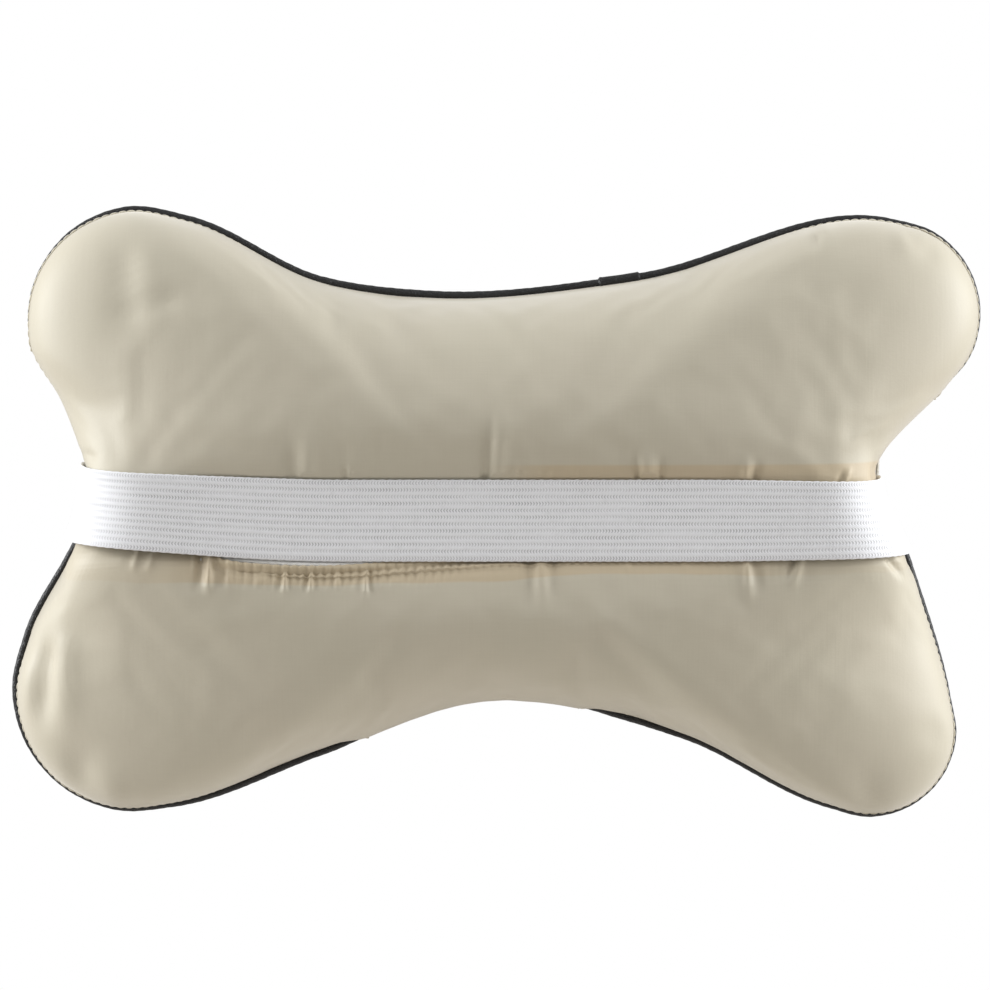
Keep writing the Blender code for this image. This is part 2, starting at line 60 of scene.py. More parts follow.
TOP_WAIST = [(-54, 71.5), (-20, 67), (45, 72.5)]
UPPER_RIGHT_LOBE = (121.5, 61.5, 28, 86, -51)
RIGHT_WAIST = [(118, 15.5), (128.5, -16)]
LOWER_RIGHT_LOBE = (117, -68.5, 26, 22, -116.5)
BOTTOM_WAIST = [(59.5, -70), (-3, -58), (-54.5, -75)]
LOWER_LEFT_LOBE = (-112, -55.5, 37.5, -73.5, -206)
LEFT_WAIST = [(-128.5, -4), (-126.5, 12.5)]
UPPER_LEFT_LOBE = (-110, 59.5, 34, 225.5, 65.5)
LOBE_ARC_POINTS = 6
OUTLINE_SAMPLES = 1440

CORE_X = 125 * MM
CORE_Z = 62 * MM
SEAM_Y = 40 * MM
BACK_CROWN = 50 * MM
FRONT_CROWN = 47 * MM
SIDE_POWER = 2.6
BACK_SIDE_POWER = 2.3
STRAP_SIDE_POWER = 6.0
STRAP_SIDE_REACH = 22 * MM
SEAM_GAP = 0.9 * MM
VALLEY_Z = -1 * MM
VALLEY_DEPTH = 10.3 * MM
VALLEY_WIDTH = 28 * MM
TRENCH_DEPTH = 6.7 * MM
TRENCH_WIDTH = 9.5 * MM
FRONT_SEAM_X = 50 * MM

STRAP_WIDTH = 25 * MM
STRAP_THICKNESS = 1.2 * MM
STRAP_MIDDLE_HALF = 95 * MM
STRAP_END_POWER = 3.0
STRAP_CLEARANCE = 1.5 * MM
STRAP_NOTCH = 2.3 * MM
STRAP_NOTCH_HALF = 19 * MM
STRAP_TUCK = 7 * MM
STRAP_CLEAR_Y = 0.35 * MM

PIPING_RADIUS = 1.35 * MM
JOIN_START_X = 32 * MM
JOIN_LENGTH = 13.5 * MM

ZIP_Z = -2 * MM
TAPE_FACE_Y = 8 * MM
TAPE_WIDTH = 12.5 * MM
TAPE_THICKNESS = 0.6 * MM
TAPE_HALF_LENGTH = 91.5 * MM
SLOT_HALF_LENGTH = 92 * MM
SLOT_HALF_WIDTH = 7 * MM
CHAIN_SPLIT = 0.6 * MM
COIL_WIDTH = 1.8 * MM
COIL_HEIGHT = 1.6 * MM
COIL_HALF_LENGTH = 86.5 * MM

# Left of the middle, the lining's edge sags away from the zip and shows its tape.
SAG_X = -56 * MM
SAG_DEPTH = 5.1 * MM
SAG_WIDTH = 44 * MM
GATHER_PITCH = 2.7 * MM

# ---------------------------------------------------------------- small helpers


def smoothstep(value, low, high):
    t = np.clip((value - low) / (high - low), 0.0, 1.0)
    return t * t * (3 - 2 * t)


def bell(value, middle, width, power=2):
    """1 at the middle, falling to 0 on both sides; a higher power makes it flatter on top."""
    return np.exp(-((abs(value - middle) / width) ** power))


def lengths(vectors):
    return np.linalg.norm(vectors, axis=1)


def even_steps(path, count, endpoint=True):
    """Points at equal steps along a path, and how far along it each one is."""
    along = np.concatenate([[0.0], np.cumsum(lengths(np.diff(path, axis=0)))])
    wanted = np.linspace(0.0, along[-1], count, endpoint=endpoint)
    return np.column_stack([np.interp(wanted, along, part) for part in path.T]), wanted


def grid_faces(rows, columns, close_rows=False, close_columns=False):
    """The quads of a grid whose points are numbered row by row."""
    faces = []
    for i in range(rows if close_rows else rows - 1):
        this = i * columns
        below = (i + 1) % rows * columns
        for j in range(columns if close_columns else columns - 1):
            beside = (j + 1) % columns
            faces.append((this + j, this + beside, below + beside, below + j))
    return faces


def tube_faces(rings, around):
    """The quads of a tube of rings, and a cap at each end."""
    last = (rings - 1) * around
    caps = [tuple(range(around)), tuple(range(last, last + around))]
    return grid_faces(rings, around, close_columns=True) + caps


def ring(middle, side, over, radius, count=6):
    """Points round a middle, in the plane of two directions."""
    angles = [2 * math.pi / count * step for step in range(count)]
    return [middle + (side * math.cos(a) + over * math.sin(a)) * radius for a in angles]


def vertex_vectors(mesh, kind="co"):
    flat = np.zeros(len(mesh.vertices) * 3)
    mesh.vertices.foreach_get(kind, flat)
    return flat.reshape(-1, 3)


def move_vertices(mesh, positions):
    mesh.vertices.foreach_set("co", np.asarray(positions).ravel())
    mesh.update()


@contextmanager
def edited(mesh):
    """The mesh as a bmesh, which is written back with its faces turned outwards."""
    shape = bmesh.new()
    shape.from_mesh(mesh)
    yield shape
    bmesh.ops.recalc_face_normals(shape, faces=shape.faces)
    shape.to_mesh(mesh)
    shape.free()


def as_mesh(name, shape):
    mesh = bpy.data.meshes.new(name)
    shape.to_mesh(mesh)
    shape.free()
    return mesh


def new_piece(name, mesh, look):
    """An object of that mesh, smooth shaded, with one material."""
    mesh.materials.clear()
    mesh.materials.append(look)
    for polygon in mesh.polygons:
        polygon.use_smooth = True
    piece = bpy.data.objects.new(name, mesh)
    bpy.context.scene.collection.objects.link(piece)
    return piece


def mesh_from_lists(name, vertices, faces):
    mesh = bpy.data.meshes.new(name)
    mesh.from_pydata([tuple(vertex) for vertex in vertices], [], faces)
    return mesh


def piece_from_lists(name, vertices, faces, look):
    mesh = mesh_from_lists(name, vertices, faces)
    with edited(mesh):
        pass
    return new_piece(name, mesh, look)


def apply_modifiers(piece):
    """Bake the object's modifiers into its mesh."""
    graph = bpy.context.evaluated_depsgraph_get()
    graph.update()
    baked = bpy.data.meshes.new_from_object(piece.evaluated_get(graph))
    piece.modifiers.clear()
    old = piece.data
    piece.data = baked
    bpy.data.meshes.remove(old)


def thickened(name, mesh, look, thickness):
    """A piece of cloth of that thickness, grown inwards from the mesh."""
    piece = new_piece(name, mesh, LOOKS[look])
    wall = piece.modifiers.new("thickness", "SOLIDIFY")
    wall.thickness = thickness
    wall.offset = -1.0
    apply_modifiers(piece)
    return piece


# ---------------------------------------------------------------- the outline


def lobe_points(lobe):
    x, z, radius, start, end = lobe
    angles = np.radians(np.linspace(start, end, LOBE_ARC_POINTS))
    return [(x + radius * math.cos(a), z + radius * math.sin(a)) for a in angles]


def smooth_loop(points, count):
    """A closed curve through the points, sampled at equal steps along its length."""
    points = np.array(points)
    after = np.roll(points, -1, axis=0)
    step = lengths(after - points)[:, None]
    slope = (after - points) / step
    step_before = np.roll(step, 1, axis=0)
    slope_before = np.roll(slope, 1, axis=0)
    tangent = (slope * step_before + slope_before * step) / (step + step_before)
    t = np.linspace(0.0, 1.0, 24, endpoint=False)[None, :, None]
    leave = (tangent * step)[:, None, :]
    arrive = (np.roll(tangent, -1, axis=0) * step)[:, None, :]
    curve = (2 * t**3 - 3 * t**2 + 1) * points[:, None, :] + (t**3 - 2 * t**2 + t) * leave
    curve = curve + (3 * t**2 - 2 * t**3) * after[:, None, :] + (t**3 - t**2) * arrive
    curve = curve.reshape(-1, 2)
    return even_steps(np.vstack([curve, curve[:1]]), count, endpoint=False)[0]


class Outline:
    """The seam line, as points of x and z round the origin, clockwise from the top."""

    def __init__(self, points):
        self.points = points
        tangent = np.roll(points, -1, axis=0) - np.roll(points, 1, axis=0)
        normals = np.column_stack([-tangent[:, 1], tangent[:, 0]])
        self.normals = normals / lengths(normals)[:, None]
        angles = np.arctan2(points[:, 1], points[:, 0])
        self.order = np.argsort(angles)
        self.angles = angles[self.order]

    def at_angle(self, angle, values):
        """What a list of one value for each outline point holds in a direction."""
        return np.interp(angle, self.angles, values[self.order], period=2 * math.pi)

    def reach(self, angle):
        return self.at_angle(angle, np.hypot(*self.points.T))

    def normal(self, angle):
        return np.column_stack([self.at_angle(angle, part) for part in self.normals.T])

    def side_x(self, side, z):
        """Where the outline crosses a height near the strap's end; side is -1 or 1."""
        near = self.points[(self.points[:, 0] * side > 0.1) & (abs(self.points[:, 1]) < 0.03)]
        order = np.argsort(near[:, 1])
        return np.interp(z, near[order, 1], near[order, 0])


OUTLINE_POINTS = (
    TOP_WAIST
    + lobe_points(UPPER_RIGHT_LOBE)
    + RIGHT_WAIST
    + lobe_points(LOWER_RIGHT_LOBE)
    + BOTTOM_WAIST
    + lobe_points(LOWER_LEFT_LOBE)
    + LEFT_WAIST
    + lobe_points(UPPER_LEFT_LOBE)
)
SEAM = Outline(smooth_loop(OUTLINE_POINTS, OUTLINE_SAMPLES) * MM)


def core_reach(angle):
    """How far the middle ellipse reaches in a direction."""
    return CORE_X * CORE_Z / np.hypot(CORE_Z * np.cos(angle), CORE_X * np.sin(angle))


def ring_points(share, count):
    """A level ring, from 0 at the origin to 1 at the outline."""
    chosen = np.arange(count) * OUTLINE_SAMPLES // count
    edge = SEAM.points[chosen]
    edge_reach = np.hypot(edge[:, 0], edge[:, 1])
    core = core_reach(np.arctan2(edge[:, 1], edge[:, 0]))
    reach = share * (core + (edge_reach - core) * share**2)
    return edge * (reach / edge_reach)[:, None]


def share_at(x, z):
    """Which level ring passes through a point."""
    angle = np.arctan2(z, x)
    edge = SEAM.reach(angle)
    core = core_reach(angle)
    reach = np.hypot(x, z)
    share = reach / edge
    for _ in range(12):
        error = share * (core + (edge - core) * share**2) - reach
        share = share - error / (core + 3 * (edge - core) * share**2)
    return np.clip(share, 0.0, 1.0)


def strap_inner_y(x, z):
    """The depth of the strap's inner face: flat in the middle, rounding off at both ends."""
    edge = np.where(x > 0, SEAM.side_x(1, z), -SEAM.side_x(-1, z))
    span = edge + STRAP_CLEARANCE - STRAP_MIDDLE_HALF
    past = np.clip((abs(x) - STRAP_MIDDLE_HALF) / span, 0.0, 1.0)
    return SEAM_Y * (1.0 - (1.0 - past**STRAP_END_POWER) ** (1.0 / STRAP_END_POWER))


def strap_shift(travel):
    """The strap is sewn in a little higher on the left."""
    return 4.1 * MM * smoothstep(-travel, 45 * MM, 150 * MM)


def strap_taper(travel):
    """The pulled strap draws in a little towards its ends."""
    return 1.0 - 0.08 * smoothstep(abs(travel), 60 * MM, 135 * MM)


def under_strap(y, x, z):
    """Keep the lining behind the strap, and let it swell forward again past the strap's edges."""
    past_edge = abs(z - strap_shift(x)) - strap_taper(x) * STRAP_WIDTH / 2
    free = 1.4 * MM * smoothstep(past_edge, 0.0, 0.9 * MM)
    free = free + 12 * MM * smoothstep(past_edge, 0.9 * MM, 7 * MM)
    free = free + 50 * MM * smoothstep(past_edge, 5 * MM, 12 * MM)
    limit = strap_inner_y(x, z) + STRAP_CLEAR_Y - free
    return np.where(y < SEAM_Y - 2.5 * MM, np.maximum(y, np.minimum(limit, y + 9 * MM)), y)


def back_y(x, z, share):
    """The depth of the stuffed back, with the valley that the strap presses into it."""
    near_strap = bell(z, 0, STRAP_SIDE_REACH)
    power = BACK_SIDE_POWER + (STRAP_SIDE_POWER - BACK_SIDE_POWER) * near_strap
    valley = VALLEY_DEPTH * bell(z, VALLEY_Z, VALLEY_WIDTH, 2.2)
    valley = valley + TRENCH_DEPTH * bell(z, VALLEY_Z, TRENCH_WIDTH, 6)
    profile = np.maximum(0.0, 1.0 - share**power) ** (1.0 / power)
    notch = STRAP_NOTCH * bell(z, 0, STRAP_NOTCH_HALF, 6)
    gap = SEAM_GAP + np.where(abs(x) < STRAP_MIDDLE_HALF, 0.0, notch)
    return SEAM_Y - gap - (1 - gap / BACK_CROWN) * (BACK_CROWN - valley) * profile


def lining_y(x, z):
    """The lining's depth at a point, before its folds."""
    return under_strap(back_y(x, z, share_at(x, z)), x, z)


def front_y(share):
    profile = np.maximum(0.0, 1.0 - share**SIDE_POWER) ** (1.0 / SIDE_POWER)
    return SEAM_Y + SEAM_GAP + (1 - SEAM_GAP / FRONT_CROWN) * FRONT_CROWN * profile


# How much of the piping shows past the lining round the outline: pairs of an angle in degrees
# from +X, anticlockwise, and a width in millimetres. Below zero the lining bulges past it.
PIPING_SHOWN = [
    (-177, 1.9), (-172, 2.8), (-165, 2.5), (-158, 1.5), (-148, 0.9), (-140, 1.5), (-132, 2.5),
    (-124, 2.6), (-119, -0.6), (-90, -0.9), (-68, -0.7), (-63, 1.8), (-55, 2.5), (-43, 1.6),
    (-33, 0.8), (-22, 0.7), (-13, 1.2), (-6, 1.0), (0, -0.7), (13, -0.7), (16, 0.4), (22, 0.6),
    (32, 0.8), (38, 1.3), (46, 2.3), (60, 2.9), (90, 2.8), (118, 3.0), (132, 2.1), (143, 1.2),
    (150, 0.5), (158, 0.4), (163, -0.4), (180, -0.7),
]  # fmt: skip
PIPING_EDGE = 1.8 * MM


def piping_shown(angle):
    angles, widths = np.radians([a for a, _ in PIPING_SHOWN]), [w for _, w in PIPING_SHOWN]
    return np.interp(angle, angles, widths, period=2 * math.pi) * MM


def lining_bulge(x, z):
    """How far the lining stands out past the seam line, near the seam."""
    shown = piping_shown(np.arctan2(z, x))
    bulge = np.where(shown > 0, PIPING_EDGE - shown, PIPING_EDGE - 0.5 * MM)
    at_strap = (1 - smoothstep(abs(z), 15 * MM, 21 * MM)) * (abs(x) > STRAP_MIDDLE_HALF)
    return bulge * (1 - at_strap)


def piping_offset(x, z):
    """How far the piping's middle lies outside the seam line."""
    shown = piping_shown(np.arctan2(z, x))
    hidden = np.minimum(shown, 0.0) * 2.0
    return PIPING_EDGE - PIPING_RADIUS + hidden


# ---------------------------------------------------------------- materials


class Value:
    """A number or colour that nodes make, for use in sums."""

    def __init__(self, nodes, socket):
        self.nodes = nodes
        self.socket = socket

    def __add__(self, other):
        return self.nodes.math("ADD", self, other)

    def __sub__(self, other):
        return self.nodes.math("SUBTRACT", self, other)

    def __rsub__(self, other):
        return self.nodes.math("SUBTRACT", other, self)

    def __mul__(self, other):
        return self.nodes.math("MULTIPLY", self, other)

    def __truediv__(self, other):
        return self.nodes.math("DIVIDE", self, other)


class Nodes:
    """A node tree, built value by value."""

    def __init__(self, tree):
        self.tree = tree

    def feed(self, socket, value):
        if isinstance(value, Value):
            self.tree.links.new(value.socket, socket)
        elif isinstance(value, tuple) and socket.type == "RGBA":
            socket.default_value = (*value, 1.0)
        else:
            socket.default_value = value

    def node(self, kind, feeds, **settings):
        item = self.tree.nodes.new("ShaderNode" + kind)
        for key, value in settings.items():
            setattr(item, key, value)
        for key, value in feeds.items():
            self.feed(item.inputs[key], value)
        return item

    def value(self, kind, output, feeds=None, **settings):
        return Value(self, self.node(kind, feeds or {}, **settings).outputs[output])

    def split(self, vector):
        parts = self.node("SeparateXYZ", {"Vector": vector})
        return [Value(self, part) for part in parts.outputs]

    def math(self, operation, *values):
        return self.value("Math", 0, dict(enumerate(values)), operation=operation)

    def step(self, value, low, high, first=0.0, last=1.0):
        """The first number below low and the last above high, smooth between."""
        feeds = {"Value": value, "From Min": low, "From Max": high, "To Min": first, "To Max": last}
        return self.value("MapRange", "Result", feeds, interpolation_type="SMOOTHSTEP")

    def spread(self, value, low, high):
        """A value from 0 to 1 spread over another range."""
        return self.value("MapRange", "Result", {"Value": value, "To Min": low, "To Max": high})

    def noise(self, vector, scale, detail=2.0, output="Fac"):
        feeds = {"Vector": vector, "Scale": scale, "Detail": detail}
        return self.value("TexNoise", output, feeds)

    def mix(self, share, first, second, **settings):
        feeds = {"Factor": share, 6: first, 7: second}
        return self.value("Mix", 2, feeds, data_type="RGBA", **settings)

    def tint(self, share, base, factor):
        """Multiply a colour, as far as the share says."""
        return self.mix(share, base, factor, blend_type="MULTIPLY")


class Look(Nodes):
    """A procedural material."""

    def __init__(self, name, roughness=0.5, metallic=0.0, **fixed):
        self.material = bpy.data.materials.new(name)
        self.material.use_nodes = True
        super().__init__(self.material.node_tree)
        self.shader = self.tree.nodes["Principled BSDF"]
        fixed.update(Roughness=roughness, Metallic=metallic)
        for socket, value in fixed.items():
            self.feed(self.shader.inputs[socket.replace("_", " ")], value)

    def place(self):
        """The surface point in metres, at the rest pose."""
        return self.value("TexCoord", "Object")

    def uv(self):
        return self.value("UVMap", "UV", uv_map="UVMap")

    def finish(self, colour, height, depth, roughness=None):
        bump = self.value("Bump", "Normal", {"Height": height, "Distance": depth, "Strength": 1.0})
        self.feed(self.shader.inputs["Base Color"], colour)
        self.feed(self.shader.inputs["Normal"], bump)
        if roughness is not None:
            self.feed(self.shader.inputs["Roughness"], roughness)
        return self.material


def threads(look, place, pitch, length):
    """Uneven woven threads both ways: fine across, long along."""
    fine, long = 1.0 / pitch, 1.0 / length
    scales = ((fine, long, long), (long, fine, fine))
    ways = [look.value("Mapping", "Vector", {"Vector": place, "Scale": s}) for s in scales]
    return [look.noise(way, 1.0, 1.0) for way in ways]


def lining_look():
    """Beige satin lining, doubled where its edge is turned in beside the zip."""
    look = Look("lining", roughness=0.5, Sheen_Weight=0.5, Sheen_Roughness=0.45,
                Sheen_Tint=(1.0, 0.97, 0.93), Specular_IOR_Level=0.35)  # fmt: skip
    place = look.place()
    x, _, z = look.split(place)
    upright, level = threads(look, place, 0.55 * MM, 14 * MM)
    weave = (upright + level) * 0.5
    base = look.mix(look.noise(place, 26.0, 3.0), (0.530, 0.495, 0.390), (0.560, 0.512, 0.412))
    base = look.mix(look.step(weave, 0.3, 0.7), look.tint(1.0, base, (0.98, 0.977, 0.975)), base)

    wander = look.noise(place, 30.0, 1.0) * (3.5 * MM)
    right_rise = look.step(x, -12 * MM, 30 * MM, 0.0, 2.8 * MM)
    low_limit = wander + right_rise + (-21.0 * MM)
    below = look.step(z - low_limit, -0.3 * MM, 0.5 * MM) * look.step(z, -8 * MM, -4 * MM, 1.0, 0.0)
    fade = look.step(x, -118 * MM, -80 * MM) - look.step(x, 60 * MM, 105 * MM)
    below = below * look.spread(fade, 0.25, 1.0)
    above = look.step(z, 16.6 * MM, 17.6 * MM, 1.0, 0.0) * look.step(z, 2 * MM, 4 * MM)
    above = above * look.step(x, -6 * MM, 20 * MM)
    base = look.tint(look.math("MAXIMUM", below, above), base, (0.99, 0.90, 0.79))

    height = weave + look.noise(place, 900.0) * 0.3
    return look.finish(base, height, 0.03 * MM, look.spread(upright, 0.42, 0.56))


DOT_PITCH = 4.5 * MM


def leather_look(name, dots=False):
    """Black grained leather cloth, with fine punched dots where asked."""
    look = Look(name, roughness=0.45, Specular_IOR_Level=0.45)
    place = look.place()
    soft = look.noise(place, 260.0, output="Color")
    shift = look.value("VectorMath", 0, {0: soft, "Scale": 0.9 * MM}, operation="SCALE")
    warped = look.value("VectorMath", 0, {0: place, 1: shift}, operation="ADD")
    feeds = {"Vector": warped, "Scale": 900.0}
    cells = look.value("TexVoronoi", "Distance", feeds, feature="DISTANCE_TO_EDGE")
    pebble = look.step(cells, 0.02, 0.22)
    colour = look.mix(pebble, (0.003, 0.003, 0.0032), (0.009, 0.009, 0.0095))
    colour = look.mix(look.step(look.noise(place, 45.0), 0.35, 0.8), colour, (0.013, 0.013, 0.0135))
    height = pebble + look.noise(place, 3800.0) * 0.35
    if dots:
        x, _, z = look.split(place)
        u, v = (look.math("FRACT", way / DOT_PITCH) - 0.5 for way in (x, z))
        far = look.math("SQRT", look.math("POWER", u, 2.0) + look.math("POWER", v, 2.0))
        punched = look.step(far, 0.10, 0.15, 1.0, 0.0)
        # The punched holes are darkened in colour: painted shade inside the holes.
        colour = look.tint(punched, colour, (0.15, 0.15, 0.15))
        height = height - punched * 3.0
    rough = look.spread(look.noise(place, 700.0, 3.0), 0.34, 0.58)
    return look.finish(colour, height, 0.09 * MM, rough)


RIB_COUNT = 12
CHEVRON_PITCH = 0.9 * MM


def elastic_look():
    """White braided elastic: rows of small chevrons. U runs along the band and V across it."""
    look = Look("elastic", roughness=0.75, Sheen_Weight=0.2, Specular_IOR_Level=0.25)
    u, v, _ = look.split(look.uv())
    row = v / (STRAP_WIDTH / RIB_COUNT)
    row_number = look.math("FLOOR", row)
    from_middle = look.math("ABSOLUTE", look.math("FRACT", row) - 0.5)
    flip = 1.0 - look.math("MODULO", row_number, 2.0) * 2.0
    lean = from_middle * flip * 1.3 + row_number * 0.37
    wave = look.math("SINE", (u / CHEVRON_PITCH + lean) * (2 * math.pi))
    hole = look.step(wave, -0.1, 0.9) * look.step(from_middle, 0.12, 0.40, 1.0, 0.0)
    along = look.value("CombineXYZ", "Vector", {"X": u * 45.0, "Y": row_number})
    # The braid's openings are darkened to grey, unevenly along each row: painted shade inside the
    # openings.
    shade = hole * look.step(look.noise(along, 1.0, 1.0), 0.25, 0.75, 0.35, 1.0)
    colour = look.mix(shade, (0.86, 0.865, 0.89), (0.46, 0.46, 0.48))
    thread = look.step(look.math("ABSOLUTE", wave), 0.0, 0.6)
    colour = look.tint(1.0 - thread, colour, (0.93, 0.93, 0.935))
    uneven = look.noise(look.uv(), 350.0)
    colour = look.tint(look.step(uneven, 0.5, 0.9), colour, (0.94, 0.94, 0.94))
    return look.finish(colour, thread * 0.5 - hole, 0.10 * MM, look.spread(uneven, 0.65, 0.85))


def tape_look():
    """Off-white woven zip tape with a rib along each thread."""
    look = Look("tape", roughness=0.8, Sheen_Weight=0.2)
    place = look.place()
    x, _, z = look.split(place)
    ribs = look.math("SINE", x * (2 * math.pi / (0.7 * MM)))
    rows = look.math("SINE", z * (2 * math.pi / (0.55 * MM)))
    woven = (ribs * rows + 1.0) * 0.5
    fuzz = look.noise(place, 1600.0, 3.0)
    colour = look.mix(woven, (0.74, 0.73, 0.70), (0.92, 0.91, 0.88))
    colour = look.tint(look.step(fuzz, 0.5, 0.8), colour, (0.86, 0.86, 0.86))
    return look.finish(colour, woven + fuzz, 0.15 * MM)


# Plain materials: dark and light colour, noise scale, bump depth in millimetres, roughness, metal.
PLAIN_LOOKS = {
    "coil": ((0.60, 0.56, 0.48), (0.74, 0.70, 0.61), 900, 0.03, 0.38, 0),
    "nickel": ((0.52, 0.51, 0.49), (0.70, 0.69, 0.66), 500, 0.02, 0.26, 1),
    "foam": ((0.48, 0.44, 0.33), (0.64, 0.60, 0.48), 700, 0.4, 0.9, 0),
    "nonwoven": ((0.66, 0.66, 0.64), (0.80, 0.80, 0.78), 350, 0.1, 0.85, 0),
    "fibre": ((0.68, 0.68, 0.67), (0.84, 0.84, 0.83), 160, 0.6, 0.9, 0),
    "cord": ((0.56, 0.54, 0.48), (0.72, 0.70, 0.64), 1200, 0.15, 0.85, 0),
    "thread": ((0.025, 0.025, 0.026), (0.06, 0.06, 0.062), 2500, 0.04, 0.5, 0),
}


def plain_look(name, dark, light, scale, depth, roughness, metal):
    """A colour and a height that vary with one noise."""
    look = Look(name, roughness, metal)
    place = look.place()
    patch = look.noise(place, scale, 3.0)
    wide = look.noise(place, scale / 9.0)
    colour = look.mix(look.step(patch, 0.3, 0.7), dark, light)
    colour = look.tint(look.step(wide, 0.4, 0.8), colour, (0.88, 0.88, 0.88))
    rough = look.spread(wide, roughness - 0.08, roughness + 0.1)
    return look.finish(colour, patch, depth * MM, rough)


LOOKS = {
    "lining": lining_look(),
    "leather": leather_look("leather"),
    "punched": leather_look("punched_leather", dots=True),
    "elastic": elastic_look(),
    "tape": tape_look(),
}
for name, values in PLAIN_LOOKS.items():
    LOOKS[name] = plain_look(name, *values)

# ---------------------------------------------------------------- the stuffed cover

SPOKES = 240
RIM_RINGS = 26
RIM_STEPS = [25.5, *range(25, 17, -1)]
LATTICE = 3.5 * MM
LATTICE_REACH = 150 * MM
LATTICE_MARGIN = 0.02


def plan_mesh():
    """Points of x and z with their shares, and faces: rings near the rim, a lattice inside."""
    shares = [1.0] + [math.sin(0.5 * math.pi * step / RIM_RINGS) for step in RIM_STEPS]
    rings = [ring_points(share, SPOKES) for share in shares]
    faces = grid_faces(len(rings), SPOKES, close_columns=True)
    count = int(LATTICE_REACH / LATTICE)
    steps = np.arange(-count, count + 1) * LATTICE
    grid_x, grid_z = np.meshgrid(steps, steps + ZIP_Z)
    grid = np.column_stack([grid_x.ravel(), grid_z.ravel()])
    angle = np.arctan2(grid[:, 1], grid[:, 0])
    grid = grid[lengths(grid) < SEAM.reach(angle)]
    grid = grid[share_at(*grid.T) < shares[-1] - LATTICE_MARGIN]
    loose = [Vector(point) for point in np.vstack([rings[-1], grid])]
    border = [list(range(SPOKES))]
    found = geometry.delaunay_2d_cdt(loose, [], border, 1, 0.01 * MM)
    places, triangles, origins = found[0], found[2], found[3]
    index = []
    extra = []
    for place, origin in zip(places, origins):
        if origin and origin[0] < SPOKES:
            index.append((len(rings) - 1) * SPOKES + origin[0])
        else:
            index.append(len(rings) * SPOKES + len(extra))
            extra.append((place.x, place.y))
    faces += [tuple(index[i] for i in triangle) for triangle in triangles]
    points = np.vstack([*rings, extra])
    share = np.concatenate([np.repeat(shares, SPOKES), share_at(*np.array(extra).T)])
    return points, share, faces


def bulged(points, y, share, amount):
    """Push a face's rim out past the seam line, where its filling swells over the seam."""
    normal = SEAM.normal(np.arctan2(points[:, 1], points[:, 0]))
    depth = abs(y - SEAM_Y)
    swell = smoothstep(depth, 0.0, 4 * MM) * (1 - smoothstep(depth, 14 * MM, 36 * MM))
    moved = points + normal * (amount * swell * share**4)[:, None]
    return np.column_stack([moved[:, 0], y, moved[:, 1]])


def cover_mesh():
    """One closed shell of both faces, which share the seam ring."""
    points, share, faces = plan_mesh()
    y_back = back_y(*points.T, share)
    y_back[:SPOKES] = SEAM_Y
    back = bulged(points, y_back, share, lining_bulge(*points.T))
    front = bulged(points, front_y(share), share, 0.9 * MM)
    shift = len(points) - SPOKES
    mirrored = [tuple(i if i < SPOKES else i + shift for i in reversed(face)) for face in faces]
    mesh = mesh_from_lists("cover", np.vstack([back, front[SPOKES:]]), faces + mirrored)
    with edited(mesh) as shape:
        triangles = [face for face in shape.faces if len(face.verts) == 3]
        bmesh.ops.join_triangles(
            shape, faces=triangles, angle_face_threshold=0.7, angle_shape_threshold=0.7
        )
    return mesh


SIM_FRAMES = 20
SIM_CAP = 4.5 * MM
SIM_LEAST_HOLD = 0.22
SIM_SETTINGS = {
    "quality": 6,
    "mass": 0.2,
    "tension_stiffness": 22,
    "compression_stiffness": 18,
    "shear_stiffness": 6,
    "bending_stiffness": 0.6,
    "use_pressure": True,
    "uniform_pressure_force": 4.0,
    "shrink_min": -0.006,
    "vertex_group_mass": "held",
}


def stuff(cover):
    """Blow the cover up a little as cloth, so that its spare fabric finds its own folds."""
    start = vertex_vectors(cover.data).copy()
    x, y, z = start.T
    near_seam = 1 - smoothstep(abs(y - SEAM_Y), 3 * MM, 16 * MM)
    near_zip = 1 - smoothstep(abs(z - ZIP_Z), 9 * MM, 20 * MM)
    near_zip = near_zip * (1 - smoothstep(abs(x), 93 * MM, 118 * MM)) * (y < SEAM_Y)
    still = np.maximum(near_seam, near_zip)
    hold = np.round(np.maximum(still, SIM_LEAST_HOLD), 2)
    group = cover.vertex_groups.new(name="held")
    for level in np.unique(hold):
        group.add(np.flatnonzero(hold == level).tolist(), float(level), "REPLACE")
    cloth = cover.modifiers.new("stuffing", "CLOTH")
    for key, value in SIM_SETTINGS.items():
        setattr(cloth.settings, key, value)
    cloth.settings.effector_weights.gravity = 0.0
    cloth.point_cache.frame_start = 1
    cloth.point_cache.frame_end = SIM_FRAMES
    for number in range(1, SIM_FRAMES + 1):
        bpy.context.scene.frame_set(number)
    apply_modifiers(cover)
    moved = vertex_vectors(cover.data) - start
    length = lengths(moved)
    keep = np.where(length > SIM_CAP, SIM_CAP / np.maximum(length, 1e-9), 1.0)
    result = start + moved * keep[:, None] * (1 - still)[:, None]
    behind = y < SEAM_Y
    result[behind, 1] = under_strap(result[behind, 1], x[behind], result[behind, 2])
    move_vertices(cover.data, result)
    bpy.context.scene.frame_set(1)


cover = new_piece("cover", cover_mesh(), LOOKS["lining"])
stuff(cover)
smoothing = cover.modifiers.new("smooth", "SUBSURF")
smoothing.levels = 1
smoothing.render_levels = 1
apply_modifiers(cover)

# ---------------------------------------------------------------- folds of the lining

